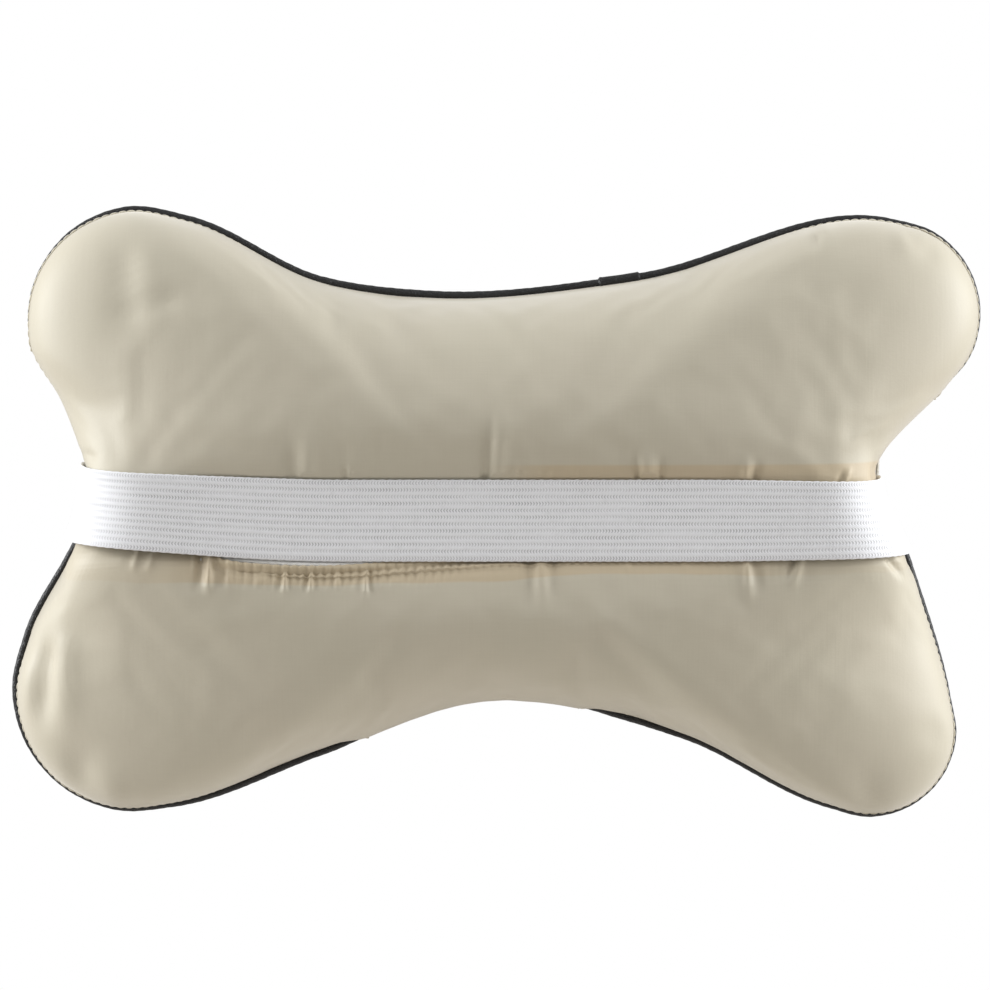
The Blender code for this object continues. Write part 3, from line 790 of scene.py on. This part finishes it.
# Each fold runs from one x and z to another, in millimetres, with a half width and a height:
# above zero it is a ridge and below zero a valley. It fades towards its second end.
FOLDS = [
    (-87.0, -12, -87.5, -24, 0.9, 1.3), (-89.6, -11, -90.5, -23, 1.1, -1.2),
    (-84.0, -11, -83.0, -21, 1.4, -0.6), (-80.5, -11, -81.5, -22, 1.5, 0.6),
    (-108.8, -10, -111.0, -17, 0.8, 0.5), (-104.0, -10, -106.5, -17, 0.8, 0.5),
    (-63.8, -12, -64.2, -24, 0.6, 0.55), (-65.6, -12, -66.2, -22, 0.8, -0.4),
    (-56.0, -12, -56.3, -23, 0.5, 0.6), (-57.4, -12, -57.8, -21, 0.7, -0.4),
    (-39.0, -12, -39.6, -26, 0.5, 0.7), (-37.7, -12, -38.0, -24, 0.6, -0.5),
    (-71.0, -12, -72.0, -19, 0.7, 0.4), (-48.0, -12, -47.5, -19, 0.7, 0.4),
    (-30.0, -12, -29.6, -19, 0.7, 0.35), (-22.0, -11, -22.5, -17, 0.8, 0.3),
    (10.5, -11, 11.5, -32, 2.0, -0.9), (17.5, -11, 18.0, -31, 2.2, -0.7),
    (14.0, -11, 14.5, -32, 1.6, 0.6), (76.6, -11, 77.4, -28, 1.1, 0.9),
    (79.2, -11, 80.5, -24, 1.2, -0.6), (91.5, -10, 88.6, -19, 0.9, -1.1),
    (93.5, -12, 89.5, -22, 1.1, 0.8), (119.0, -10, 127.5, -21, 1.0, -1.2),
    (58.0, -11, 58.5, -17, 0.8, 0.3), (40.0, -11, 40.4, -17, 0.8, 0.3),
    (-57.0, 11, -56.0, 32, 2.4, 0.8), (-61.5, 11, -61.0, 30, 2.2, -0.6),
    (-44.0, 11, -43.6, 20, 0.6, 0.5), (-45.6, 11, -45.4, 19, 0.8, -0.4),
    (-3.2, 11, -0.8, 40, 1.5, -1.1), (0.6, 11, 2.5, 44, 2.0, 0.7),
    (5.8, 11, 6.4, 19, 0.6, 0.45), (8.4, 11, 8.8, 17, 0.6, 0.3),
    (12.5, 11, 12.9, 18, 0.6, 0.35), (16.0, 11, 16.6, 18, 0.6, 0.35),
    (23.6, 11, 24.2, 18, 0.7, 0.3), (43.2, 11, 42.6, 24, 0.9, -0.9),
    (46.0, 11, 46.6, 24, 1.5, 0.8), (50.8, 11, 50.2, 22, 0.8, -0.7),
    (75.8, 11, 76.8, 22, 1.0, 0.8), (79.0, 11, 80.2, 20, 0.9, -0.8),
    (106.5, 11, 109.0, 17, 0.7, 0.5), (104.6, 11, 106.5, 16, 0.7, -0.4),
    (-114.0, 76, -113.0, 46, 4.2, -0.8), (-106.0, 78, -104.0, 46, 4.0, 0.6),
    (-110.0, 64, -84.0, 71.5, 2.6, -0.6),
    (123.0, 93, 128.0, 78, 1.4, 1.1), (126.0, 94, 131.0, 80, 1.5, -0.9),
    (135.0, 87, 134.0, 76, 2.2, -1.0), (99.4, 92, 99.0, 80, 1.3, -1.1),
    (101.6, 92, 101.8, 80, 1.2, 0.6),
    (-138.5, -46, -141.5, -72, 3.0, -2.2), (-133.0, -42, -134.5, -74, 3.4, 1.5),
    (-146.0, -50, -146.0, -68, 2.0, 1.0), (-131.0, -88, -126.0, -66, 4.0, -1.5),
    (-120.0, -92, -117.0, -76, 3.5, 0.8), (3.0, -62, 3.5, -44, 3.0, -0.8),
    (60.0, 74, 58.0, 52, 4.0, -0.7), (-30.0, 68, -31.0, 46, 5.0, -0.6),
    (118.0, -94, 112.0, -72, 4.0, -0.9), (143.0, -72, 128.0, -62, 4.0, -0.8),
    (-70.0, -78, -66.0, -56, 5.0, -0.7), (44.0, -66, 42.0, -46, 4.5, -0.8),
    (116.5, 10, 117.4, 21, 0.9, -1.2), (119.6, 10, 120.6, 21, 0.9, 1.0),
    (-133.0, 20, -120.0, 18, 1.0, -1.3), (-133.0, 17.4, -122.0, 16, 1.0, 0.8),
]  # fmt: skip


def fold_heights(x, z):
    """How far the folds lift each point of the lining."""
    total = np.zeros(len(x))
    for x0, z0, x1, z1, width, height in FOLDS:
        dx, dz = x1 - x0, z1 - z0
        length = math.hypot(dx, dz)
        along = ((x / MM - x0) * dx + (z / MM - z0) * dz) / length**2
        across = ((x / MM - x0) * dz - (z / MM - z0) * dx) / length
        widening = width * (1 + 0.7 * np.clip(along, 0.0, 1.0))
        fade = smoothstep(along, -0.35, 0.0) * (1 - smoothstep(along, 0.35, 1.0))
        total += height * fade * np.exp(-((across / widening) ** 2))
    return total * MM


def gather_heights(x, z):
    """Small gathers of the lining along the zip's lower edge, strongest left of the middle."""
    reach = smoothstep(z, -21 * MM, -12 * MM) * (z < ZIP_Z)
    amount = 0.15 + 0.85 * bell(x, -55 * MM, 42 * MM)
    amount = amount * (1 - smoothstep(abs(x), 88 * MM, 96 * MM))
    warp = 1.1 * np.sin(x / (17 * MM)) + 0.8 * np.sin(x / (7.3 * MM) + 1.0)
    wave = np.sin(2 * math.pi * x / GATHER_PITCH + warp)
    return 0.34 * MM * reach * amount * wave


def slot_sag(x):
    """How far the lining's folded edge sags below the strap."""
    sag = SAG_DEPTH * bell(x, SAG_X, SAG_WIDTH) * (1 - smoothstep(abs(x), 80 * MM, 92 * MM))
    return sag + 0.16 * MM * np.sin(2 * math.pi * x / GATHER_PITCH + 0.6)


def middle_of(edge):
    return (edge.verts[0].co + edge.verts[1].co) / 2


def refine(shape, half_height):
    """Halve the mesh steps within a distance of the zip's line."""
    edges = []
    for edge in shape.edges:
        middle = middle_of(edge)
        if abs(middle.z - ZIP_Z) < half_height and middle.y < 30 * MM:
            edges.append(edge)
    bmesh.ops.subdivide_edges(shape, edges=edges, cuts=1, use_grid_fill=True)


def cut(shape, point, normal, drop=False):
    items = shape.verts[:] + shape.edges[:] + shape.faces[:]
    bmesh.ops.bisect_plane(
        shape, geom=items, dist=0.005 * MM, plane_co=point, plane_no=normal, clear_outer=drop
    )


def turn_in(shape, edges, steps):
    """Extrude border edges through one offset after another."""
    for offset in steps:
        made = bmesh.ops.extrude_edge_only(shape, edges=edges)["geom"]
        points = [item for item in made if isinstance(item, bmesh.types.BMVert)]
        edges = [item for item in made if isinstance(item, bmesh.types.BMEdge)]
        bmesh.ops.translate(shape, verts=points, vec=Vector(offset) * MM)


def drop_faces(shape, unwanted):
    """Delete the faces whose middle the test picks."""
    faces = [face for face in shape.faces if unwanted(face.calc_center_median())]
    bmesh.ops.delete(shape, geom=faces, context="FACES")


def half_cover(side):
    """The cover's back, for a side of -1, or its front, for 1."""
    shape = bmesh.new()
    shape.from_mesh(cover.data)
    drop_faces(shape, lambda middle: (middle.y - SEAM_Y) * side < 0)
    return shape


def on_seam(positions):
    return abs(positions[:, 1] - SEAM_Y) < 0.05 * MM


def make_lining(name, up):
    """The lining on one side of the zip, with its edge turned in along the slot."""
    slot_edge = ZIP_Z + up * SLOT_HALF_WIDTH
    shape = half_cover(-1)
    for half_height in (28 * MM, 18 * MM):
        refine(shape, half_height)
    for z in (ZIP_Z - SLOT_HALF_WIDTH, ZIP_Z, ZIP_Z + SLOT_HALF_WIDTH):
        cut(shape, (0, 0, z), (0, 0, 1))
    for side in (-1, 1):
        cut(shape, (side * SLOT_HALF_LENGTH, 0, 0), (1, 0, 0))

    def unwanted(middle):
        over_slot = abs(middle.x) < SLOT_HALF_LENGTH and (slot_edge - middle.z) * up > 0
        return (middle.z - ZIP_Z) * up < 0 or over_slot

    drop_faces(shape, unwanted)
    mesh = as_mesh(name, shape)
    positions = vertex_vectors(mesh)
    normals = vertex_vectors(mesh, "normal")
    outwards = np.sign(-normals[:, 1].mean())
    seam = on_seam(positions)
    x, _, z = positions.T.copy()
    inside = smoothstep(share_at(x, z), 1.0, 0.97)
    lift = (fold_heights(x, z) + gather_heights(x, z)) * (0.15 + 0.85 * inside)
    positions += normals * (outwards * lift)[:, None]
    if up < 0:
        sag = slot_sag(x) * bell(z, slot_edge, 11 * MM) * (abs(x) < SLOT_HALF_LENGTH)
        positions[:, 2] -= sag
        positions[:, 1] += lining_y(x, z - sag) - lining_y(x, z)
    positions[:, 1] = under_strap(positions[:, 1], x, positions[:, 2])
    positions[seam, 1] = SEAM_Y - SEAM_GAP
    move_vertices(mesh, positions)

    with edited(mesh) as shape:
        hem = []
        for edge in shape.edges:
            middle = middle_of(edge)
            in_slot = abs(middle.x) < SLOT_HALF_LENGTH and middle.y < 25 * MM
            if edge.is_boundary and in_slot and abs(middle.z - slot_edge) < 9 * MM:
                hem.append(edge)
        steps = ((0.12, -0.30), (0.30, -0.12), (0.30, 0.12), (0.15, 0.80), (0.05, 2.20))
        turn_in(shape, hem, [(0, inwards, up * across) for inwards, across in steps])
    return thickened(name, mesh, "lining", 0.3 * MM)


lining_upper = make_lining("lining_upper", 1)
lining_lower = make_lining("lining_lower", -1)

# ---------------------------------------------------------------- leather front

SEAM_HALF_GAP = 0.22 * MM


def seam_dip(x, z):
    """The front panels pull in along their two upright seams, with small puckers."""
    off = abs(abs(x) - FRONT_SEAM_X)
    pucker = 1 + 0.25 * np.sin(2 * math.pi * z / (7 * MM) + 1.5 * np.sin(z / (19 * MM)))
    return -1.6 * MM * pucker * np.exp(-((off / (3.2 * MM)) ** 1.5))


def make_leather(name, low_x, high_x, look):
    """One leather panel between two places on X; None leaves that side whole."""
    sides = [(x, way) for x, way in ((low_x, 1), (high_x, -1)) if x is not None]
    shape = half_cover(1)
    for limit, inwards in sides:
        cut(shape, (limit, 0, 0), (-inwards, 0, 0), drop=True)
    mesh = as_mesh(name, shape)
    positions = vertex_vectors(mesh)
    seam = on_seam(positions)
    x, _, z = positions.T.copy()
    positions[:, 1] += seam_dip(x, z) * smoothstep(share_at(x, z), 1.0, 0.95)
    positions[seam, 1] = SEAM_Y + SEAM_GAP
    move_vertices(mesh, positions)
    with edited(mesh) as shape:
        for limit, inwards in sides:
            border = []
            for edge in shape.edges:
                ends_at_limit = all(abs(v.co.x - limit) < 0.02 * MM for v in edge.verts)
                if edge.is_boundary and ends_at_limit:
                    border.append(edge)
            steps = ((-0.20, -0.25), (0, -0.60), (0.10, -1.60))
            turn_in(shape, border, [(inwards * across, deeper, 0) for across, deeper in steps])
    return thickened(name, mesh, look, 0.7 * MM)


seam_outside = FRONT_SEAM_X + SEAM_HALF_GAP
seam_inside = FRONT_SEAM_X - SEAM_HALF_GAP
leather_left = make_leather("leather_left", None, -seam_outside, "leather")
leather_centre = make_leather("leather_centre", -seam_inside, seam_inside, "punched")
leather_right = make_leather("leather_right", seam_outside, None, "leather")

# How far along a stitch each of its rings is, how wide it is and how far out it rises.
STITCH_RINGS = [
    (0.0, 0.25, -0.6), (0.12, 0.8, 0.1), (0.5, 1.0, 0.35), (0.88, 0.8, 0.1), (1.0, 0.25, -0.6),
]  # fmt: skip


def stitch_vertices(start, end, outwards, radius):
    """One stitch that arches a little between two points."""
    outwards = outwards.normalized()
    side = (end - start).normalized().cross(outwards).normalized()
    vertices = []
    for share, width, rise in STITCH_RINGS:
        middle = start.lerp(end, share) + outwards * (rise * radius)
        vertices += ring(middle, side, outwards, radius * width)
    return vertices


def surface_tree(pieces):
    """What a ray meets on several pieces together."""
    vertices, polygons = [], []
    for piece in pieces:
        first = len(vertices)
        vertices += [vertex.co.copy() for vertex in piece.data.vertices]
        polygons += [[first + i for i in polygon.vertices] for polygon in piece.data.polygons]
    return BVHTree.FromPolygons(vertices, polygons)


STITCH_LENGTH = 2.9 * MM
STITCH_GAP = 0.9 * MM
STITCH_RADIUS = 0.24 * MM
STITCH_INSET = 3.0 * MM


def make_front_stitches():
    """A line of stitches on each side of each upright seam of the front."""
    tree = surface_tree([leather_left, leather_centre, leather_right])
    shells = tube_faces(len(STITCH_RINGS), 6)
    vertices, faces = [], []
    for seam_x in (-FRONT_SEAM_X, FRONT_SEAM_X):
        for x in (seam_x - STITCH_INSET, seam_x + STITCH_INSET):
            trail = []
            for z in np.arange(-74 * MM, 74 * MM, 0.25 * MM):
                hit, normal, _, _ = tree.ray_cast(Vector((x, 0.2, z)), Vector((0, -1, 0)))
                if hit is not None and hit.y > SEAM_Y + 4 * MM:
                    trail.append((hit, normal))
            travelled = 0.0
            start = trail[0]
            for (before, _), (here, normal) in zip(trail, trail[1:]):
                travelled += (here - before).length
                if travelled >= STITCH_LENGTH and start is not None:
                    lift = normal * 0.05 * MM
                    faces += [tuple(len(vertices) + i for i in face) for face in shells]
                    vertices += stitch_vertices(start[0] + lift, here + lift, normal, STITCH_RADIUS)
                    start = None
                if travelled >= STITCH_LENGTH + STITCH_GAP:
                    start = (here, normal)
                    travelled = 0.0
    return piece_from_lists("front_stitches", vertices, faces, LOOKS["thread"])


front_stitches = make_front_stitches()

# ---------------------------------------------------------------- piping

PIPING_AROUND = 14
PIPING_SMOOTHING = 41


def sweep_piping(name, chosen, radius_at, closed):
    """A tube along the outline, its radius given at each point."""
    points, normals = SEAM.points[chosen], SEAM.normals[chosen]
    offsets = piping_offset(*points.T)
    if closed:
        ends = PIPING_SMOOTHING
        wrapped = np.concatenate([offsets[-ends:], offsets, offsets[:ends]])
        offsets = np.convolve(wrapped, np.ones(ends) / ends, mode="same")[ends:-ends]
    vertices = []
    for i, ((x, z), (nx, nz)) in enumerate(zip(points, normals)):
        for step in range(PIPING_AROUND):
            angle = 2 * math.pi * step / PIPING_AROUND
            radius = radius_at(i, angle)
            out = offsets[i] + radius * math.cos(angle)
            vertices.append((x + out * nx, SEAM_Y + radius * math.sin(angle), z + out * nz))
    if closed:
        faces = grid_faces(len(points), PIPING_AROUND, close_rows=True, close_columns=True)
    else:
        faces = tube_faces(len(points), PIPING_AROUND)
    return piece_from_lists(name, vertices, faces, LOOKS["leather"])


def make_piping():
    def radius_at(i, angle):
        wrinkle = 0.022 * math.sin(i * 1.37 + 2 * angle) + 0.018 * math.sin(i * 0.61 - angle)
        slow = 0.03 * math.sin(i * 0.043)
        return PIPING_RADIUS * (1 + wrinkle + slow)

    return sweep_piping("piping", np.arange(OUTLINE_SAMPLES), radius_at, closed=True)


def make_piping_join():
    """Where the strip's folded end wraps over its start."""
    x, z = SEAM.points.T
    chosen = np.flatnonzero((z > 0.05) & (x >= JOIN_START_X) & (x <= JOIN_START_X + JOIN_LENGTH))

    def radius_at(i, angle):
        share = i / (len(chosen) - 1)
        lip = 0.16 * bell(share, 0.03, 0.04) + 0.10 * bell(share, 0.97, 0.04)
        end = min(1.0, min(share, 1 - share) / 0.015)
        crease = 0.03 * math.sin(9 * share + 2 * angle)
        return PIPING_RADIUS * (1.0 + 0.28 * end + (lip + crease) * end)

    return sweep_piping("piping_join", chosen, radius_at, closed=False)


piping = make_piping()
piping_join = make_piping_join()

TICK_PITCH = 2.7 * MM
TICK_RADIUS = 0.34 * MM
TICK_AROUND = 7
TICK_ALONG = 8


def make_seam_ticks():
    """The lining's edge, drawn in at every stitch of the seam beside the piping."""
    points = SEAM.points
    length = lengths(np.roll(points, -1, axis=0) - points).sum()
    samples = int(length / TICK_PITCH) * TICK_ALONG
    at = np.arange(samples) * OUTLINE_SAMPLES / samples
    index = np.arange(OUTLINE_SAMPLES + 1)
    columns = np.hstack([points, SEAM.normals])
    columns = np.vstack([columns, columns[:1]])
    x, z, nx, nz = (np.interp(at, index, column) for column in columns.T)
    bulge = lining_bulge(x, z)
    vertices = []
    for i in range(samples):
        swell = math.sin(math.pi * (i % TICK_ALONG) / TICK_ALONG)
        radius = TICK_RADIUS * (0.55 + 0.6 * swell**0.7)
        middle = bulge[i] - 0.30 * MM + 0.12 * MM * swell
        for step in range(TICK_AROUND):
            angle = 2 * math.pi * step / TICK_AROUND
            push = middle + radius * math.cos(angle)
            depth = SEAM_Y - 2.2 * MM + radius * math.sin(angle) * 1.6
            vertices.append((x[i] + push * nx[i], depth, z[i] + push * nz[i]))
    faces = grid_faces(samples, TICK_AROUND, close_rows=True, close_columns=True)
    return piece_from_lists("seam_ticks", vertices, faces, LOOKS["lining"])


seam_ticks = make_seam_ticks()

# ---------------------------------------------------------------- elastic strap

STRAP_COLUMNS = RIB_COUNT * 6 + 1
STRAP_STEP = 1.0 * MM
STRAP_EDGE = 0.35 * MM
RIB_DEPTH = 0.10 * MM
EDGE_PITCH = 2.7 * MM


def strap_end_line(side, z):
    """The inner face of a strap end at one height, from the middle part to inside the seam."""
    outside = abs(SEAM.side_x(side, z)) + STRAP_CLEARANCE
    span = outside - STRAP_MIDDLE_HALF
    path = []
    for angle in np.radians(np.linspace(90, 8, 40)):
        along = max(0.0, math.cos(angle)) ** (2.0 / STRAP_END_POWER)
        up = math.sin(angle) ** (2.0 / STRAP_END_POWER)
        path.append((STRAP_MIDDLE_HALF + span * along, SEAM_Y * (1.0 - up)))
    tuck_y = SEAM_Y - 1.7 * MM - STRAP_THICKNESS
    path.append((outside, tuck_y - 2.4 * MM))
    path.append((outside - 0.4 * MM, tuck_y - 0.4 * MM))
    path.append((outside - 2.2 * MM, tuck_y))
    path.append((outside - STRAP_TUCK, tuck_y))
    line, along = even_steps(np.array(path), 72)
    return line * (side, 1), along


def make_strap_piece(name, lines, travels):
    """Thicken a ribbed band: lines holds, for each column, its inner face's points of x and y."""
    columns, rows = len(lines), len(lines[0])
    half = STRAP_WIDTH / 2
    outer, inner, marks = [], [], []
    for j, (line, height) in enumerate(zip(lines, np.linspace(-half, half, columns))):
        tangent = np.gradient(line, axis=0)
        tangent = tangent / lengths(tangent)[:, None]
        normal = np.column_stack([tangent[:, 1], -tangent[:, 0]])
        rib = abs(math.cos(math.pi * j * RIB_COUNT / (columns - 1))) ** 0.8
        edge = STRAP_EDGE * smoothstep(abs(height), half - 0.9 * MM, half + 0.3 * MM)
        thick = STRAP_THICKNESS - edge - RIB_DEPTH * (1 - rib)
        at_edge = abs(height) > half - 0.3 * MM
        flutter = 0.08 * MM * np.sin(travels * 2 * math.pi / EDGE_PITCH) * at_edge
        z = height * strap_taper(travels) + strap_shift(travels) + flutter
        outer.append(np.column_stack([line + normal * thick, z]))
        inner.append(np.column_stack([line + normal * edge, z]))
        marks.append(np.column_stack([travels, np.full(rows, height + half)]))
    vertices = np.vstack(outer + inner[::-1])
    uvs = np.vstack(marks + marks[::-1])
    faces = grid_faces(2 * columns, rows, close_rows=True)
    first_cap = len(faces)
    for end in (0, rows - 1):
        for j in range(columns - 1):
            mirror = 2 * columns - 1 - j
            corners = (j, j + 1, mirror - 1, mirror)
            faces.append(tuple(corner * rows + end for corner in corners))
    mesh = mesh_from_lists(name, vertices, faces)
    with edited(mesh) as shape:
        shape.faces.ensure_lookup_table()
        for face in shape.faces[first_cap:]:
            for edge in face.edges:
                edge.smooth = all(other.index >= first_cap for other in edge.link_faces)
    layer = mesh.uv_layers.new(name="UVMap")
    for corner, place in zip(mesh.loops, layer.data):
        place.uv = uvs[corner.vertex_index]
    return new_piece(name, mesh, LOOKS["elastic"])


def make_strap_end(name, side):
    heights = np.linspace(-STRAP_WIDTH / 2, STRAP_WIDTH / 2, STRAP_COLUMNS)
    pairs = [strap_end_line(side, z) for z in heights]
    travels = side * (STRAP_MIDDLE_HALF + pairs[-1][1])
    return make_strap_piece(name, [line[::side] for line, _ in pairs], travels[::side])


middle_steps = int(2 * STRAP_MIDDLE_HALF / STRAP_STEP)
travels = np.linspace(-STRAP_MIDDLE_HALF, STRAP_MIDDLE_HALF, middle_steps + 1)
straight = np.column_stack([travels, np.zeros(len(travels))])
strap_middle = make_strap_piece("strap_band", [straight] * STRAP_COLUMNS, travels)
strap_left = make_strap_end("strap_band_left", -1)
strap_right = make_strap_end("strap_band_right", 1)

# ---------------------------------------------------------------- zip


def make_tape(name, up):
    """A woven tape: flat beside the coil, then curving up to lie behind the lining's edge."""
    across = np.linspace(CHAIN_SPLIT, CHAIN_SPLIT + TAPE_WIDTH, 26)
    rows = np.linspace(-TAPE_HALF_LENGTH, TAPE_HALF_LENGTH, 260)
    risen = smoothstep(across, 3.0 * MM, 9.5 * MM)
    vertices = []
    for x in rows:
        z = ZIP_Z + up * across
        behind = 2.3 * MM
        if up < 0:
            hem_z = ZIP_Z - SLOT_HALF_WIDTH - slot_sag(x)
            behind = behind - 2.15 * MM * bell(x, SAG_X, 40 * MM, 8)
            behind = behind + 1.6 * MM * smoothstep(hem_z - z, -0.5 * MM, 0.3 * MM)
        follow = lining_y(np.full(len(z), x), z) + behind
        y = TAPE_FACE_Y + (np.minimum(follow, TAPE_FACE_Y) - TAPE_FACE_Y) * risen
        ripple = 0.12 * MM * math.sin(2 * math.pi * x / GATHER_PITCH)
        y = y + ripple * smoothstep(across, 8 * MM, 13 * MM)
        fray = 0.08 * MM * math.sin(2 * math.pi * x / (1.4 * MM)) * (across > 12.8 * MM)
        front = np.column_stack([np.full(len(z), x), y, z + up * fray])
        vertices += [*front, *(front + (0, TAPE_THICKNESS, 0))[::-1]]
    faces = tube_faces(len(rows), 2 * len(across))
    return piece_from_lists(name, vertices, faces, LOOKS["tape"])


COIL_PITCH = 1.35 * MM
WIRE_RADIUS = 0.30 * MM
TURN_STEPS = 12


def make_coil(name, up):
    """A coiled nylon filament, a flattened helix along the tape's edge."""
    turns = int(2 * COIL_HALF_LENGTH / COIL_PITCH)
    middle_z = ZIP_Z + up * (CHAIN_SPLIT + COIL_WIDTH / 2 - 0.35 * MM)
    middle_y = TAPE_FACE_Y - 0.3 * MM - COIL_HEIGHT / 2
    wide = COIL_WIDTH / 2 + 0.25 * MM - WIRE_RADIUS
    tall = COIL_HEIGHT / 2 - WIRE_RADIUS
    phase = 0.0 if up > 0 else math.pi
    path = []
    for i in range(turns * TURN_STEPS + 1):
        angle = 2 * math.pi * i / TURN_STEPS + phase
        x = -COIL_HALF_LENGTH + COIL_PITCH * (i / TURN_STEPS)
        z = middle_z + up * wide * math.cos(angle)
        path.append(Vector((x, middle_y + tall * math.sin(angle), z)))
    vertices = []
    for i, point in enumerate(path):
        ahead = path[min(i + 1, len(path) - 1)] - path[max(i - 1, 0)]
        side = ahead.cross(Vector((1, 0, 0))).normalized()
        vertices += ring(point, side, ahead.cross(side).normalized(), WIRE_RADIUS)
    return piece_from_lists(name, vertices, tube_faces(len(path), 6), LOOKS["coil"])


tape_upper = make_tape("tape_upper", 1)
tape_lower = make_tape("tape_lower", -1)
coil_upper = make_coil("coil_upper", 1)
coil_lower = make_coil("coil_lower", -1)

# ---------------------------------------------------------------- pieces on their bodies

bpy.data.objects.remove(cover, do_unlink=True)

RIDERS = [
    (lining_upper, "lining", ["back_panel_upper"]),
    (lining_lower, "lining", ["back_panel_lower"]),
    (seam_ticks, "lining", []),
    (leather_left, "leather", ["front_panel_left"]),
    (leather_centre, "leather", ["front_panel_centre"]),
    (leather_right, "leather", ["front_panel_right"]),
    (front_stitches, "leather", []),
    (piping, "leather", ["piping_cover"]),
    (piping_join, "leather", ["piping_join_wrap"]),
    (tape_upper, "tape", ["zip_tape_upper"]),
    (tape_lower, "tape", ["zip_tape_lower"]),
    (coil_upper, "coil", ["zip_coil_upper"]),
    (coil_lower, "coil", ["zip_coil_lower"]),
]
for piece, slot, replaced in RIDERS:
    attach(piece, "pillow")
    if replaced:
        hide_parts(*replaced)

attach(strap_middle, "strap")
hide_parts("strap_middle")
for piece, side, node in ((strap_left, -1, "strap_end_left"), (strap_right, 1, "strap_end_right")):
    seam_x = float(SEAM.side_x(side, 0.0))
    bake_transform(piece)
    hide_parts(node)

KEPT_NODES = {
    "front_foam": "foam",
    "inner_bag_front": "nonwoven",
    "inner_bag_back": "nonwoven",
    "fibre_fill": "fibre",
    "piping_cord": "cord",
    "zip_slider": "nickel",
    "zip_pull_tab": "nickel",
    "zip_bottom_stop": "nickel",
    "zip_top_stop_upper": "nickel",
    "zip_top_stop_lower": "nickel",
}
for name, look in KEPT_NODES.items():
    for material_slot in NODES[name].material_slots:
        material_slot.material = LOOKS[look]

# ---------------------------------------------------------------- camera, floor and light

CAMERA_DISTANCE = 1.5
CAMERA_ELEVATION = math.radians(4.0)
VIEW_WIDTH = 0.3094
AIM = Vector((0.0, 40 * MM, 5.0 * MM))
SENSOR = 36.0


def place_in_scene(name, data, place, aim):
    """Add a camera or a light that looks at a point."""
    item = bpy.data.objects.new(name, data)
    bpy.context.scene.collection.objects.link(item)
    item.location = place
    item.rotation_euler = (aim - place).to_track_quat("-Z", "Y").to_euler()
    return item


camera_data = bpy.data.cameras.new("camera")
camera_data.sensor_width = SENSOR
camera_data.lens = SENSOR * CAMERA_DISTANCE / VIEW_WIDTH
back_off = Vector((0.0, -math.cos(CAMERA_ELEVATION), math.sin(CAMERA_ELEVATION)))
camera = place_in_scene("camera", camera_data, AIM + back_off * CAMERA_DISTANCE, AIM)
bpy.context.scene.camera = camera
bpy.context.scene.view_settings.view_transform = "Standard"

FLOOR_Z = -0.55
FLOOR_RADIUS = 0.65


def make_floor():
    look = Look("floor", roughness=0.85)
    grain = look.noise(look.place(), 300.0)
    colour = look.mix(grain, (0.60, 0.565, 0.52), (0.62, 0.585, 0.54))
    rim = []
    for angle in np.linspace(0.0, 2 * math.pi, 96, endpoint=False):
        rim.append((FLOOR_RADIUS * math.cos(angle), FLOOR_RADIUS * math.sin(angle), FLOOR_Z))
    material = look.finish(colour, grain, 0.01 * MM)
    piece_from_lists("floor", rim, [tuple(range(len(rim)))], material)


SIDE_LIGHT_SIZE = 0.9
SIDE_LIGHT_COLOUR = (0.96, 0.98, 1.0)
SIDE_LIGHTS = {"left_side": (-1.40, 21.0), "right_side": (1.40, 21.5)}


def make_side_lights():
    for name, (x, watts) in SIDE_LIGHTS.items():
        data = bpy.data.lights.new(name, "AREA")
        data.shape = "DISK"
        data.size = SIDE_LIGHT_SIZE
        data.energy = watts
        data.color = SIDE_LIGHT_COLOUR
        place_in_scene(name, data, Vector((x, 0.02, 0.35)), Vector((0.0, 0.03, 0.0)))


WHITE = (1.0, 1.0, 1.0)
WORLD_SIDES = 1.0
WORLD_FAR_SIDE = 0.35
WORLD_CAMERA_SIDE = 0.60
WORLD_BELOW = (0.26, 0.20, 0.13)


def make_world():
    """White all round the object, dimmer and warmer from below and from the strap's side."""
    world = bpy.data.worlds.new("studio")
    bpy.context.scene.world = world
    world.use_nodes = True
    nodes = Nodes(world.node_tree)
    _, y, z = nodes.split(nodes.value("TexCoord", "Generated"))
    level = nodes.step(y, -0.85, 0.05, WORLD_CAMERA_SIDE, WORLD_SIDES)
    fall = nodes.step(y, 0.15, 0.9, 1.0, WORLD_FAR_SIDE)
    colour = nodes.mix(nodes.step(z, -0.9, 0.3), WORLD_BELOW, WHITE)
    studio = nodes.value("Background", 0, {"Color": colour, "Strength": level * fall})
    white = nodes.value("Background", 0, {"Color": WHITE, "Strength": 1.0})
    seen = nodes.value("LightPath", "Is Camera Ray")
    chosen = nodes.value("MixShader", 0, {0: seen, 1: studio, 2: white})
    nodes.feed(world.node_tree.nodes["World Output"].inputs["Surface"], chosen)


make_floor()
make_world()
make_side_lights()
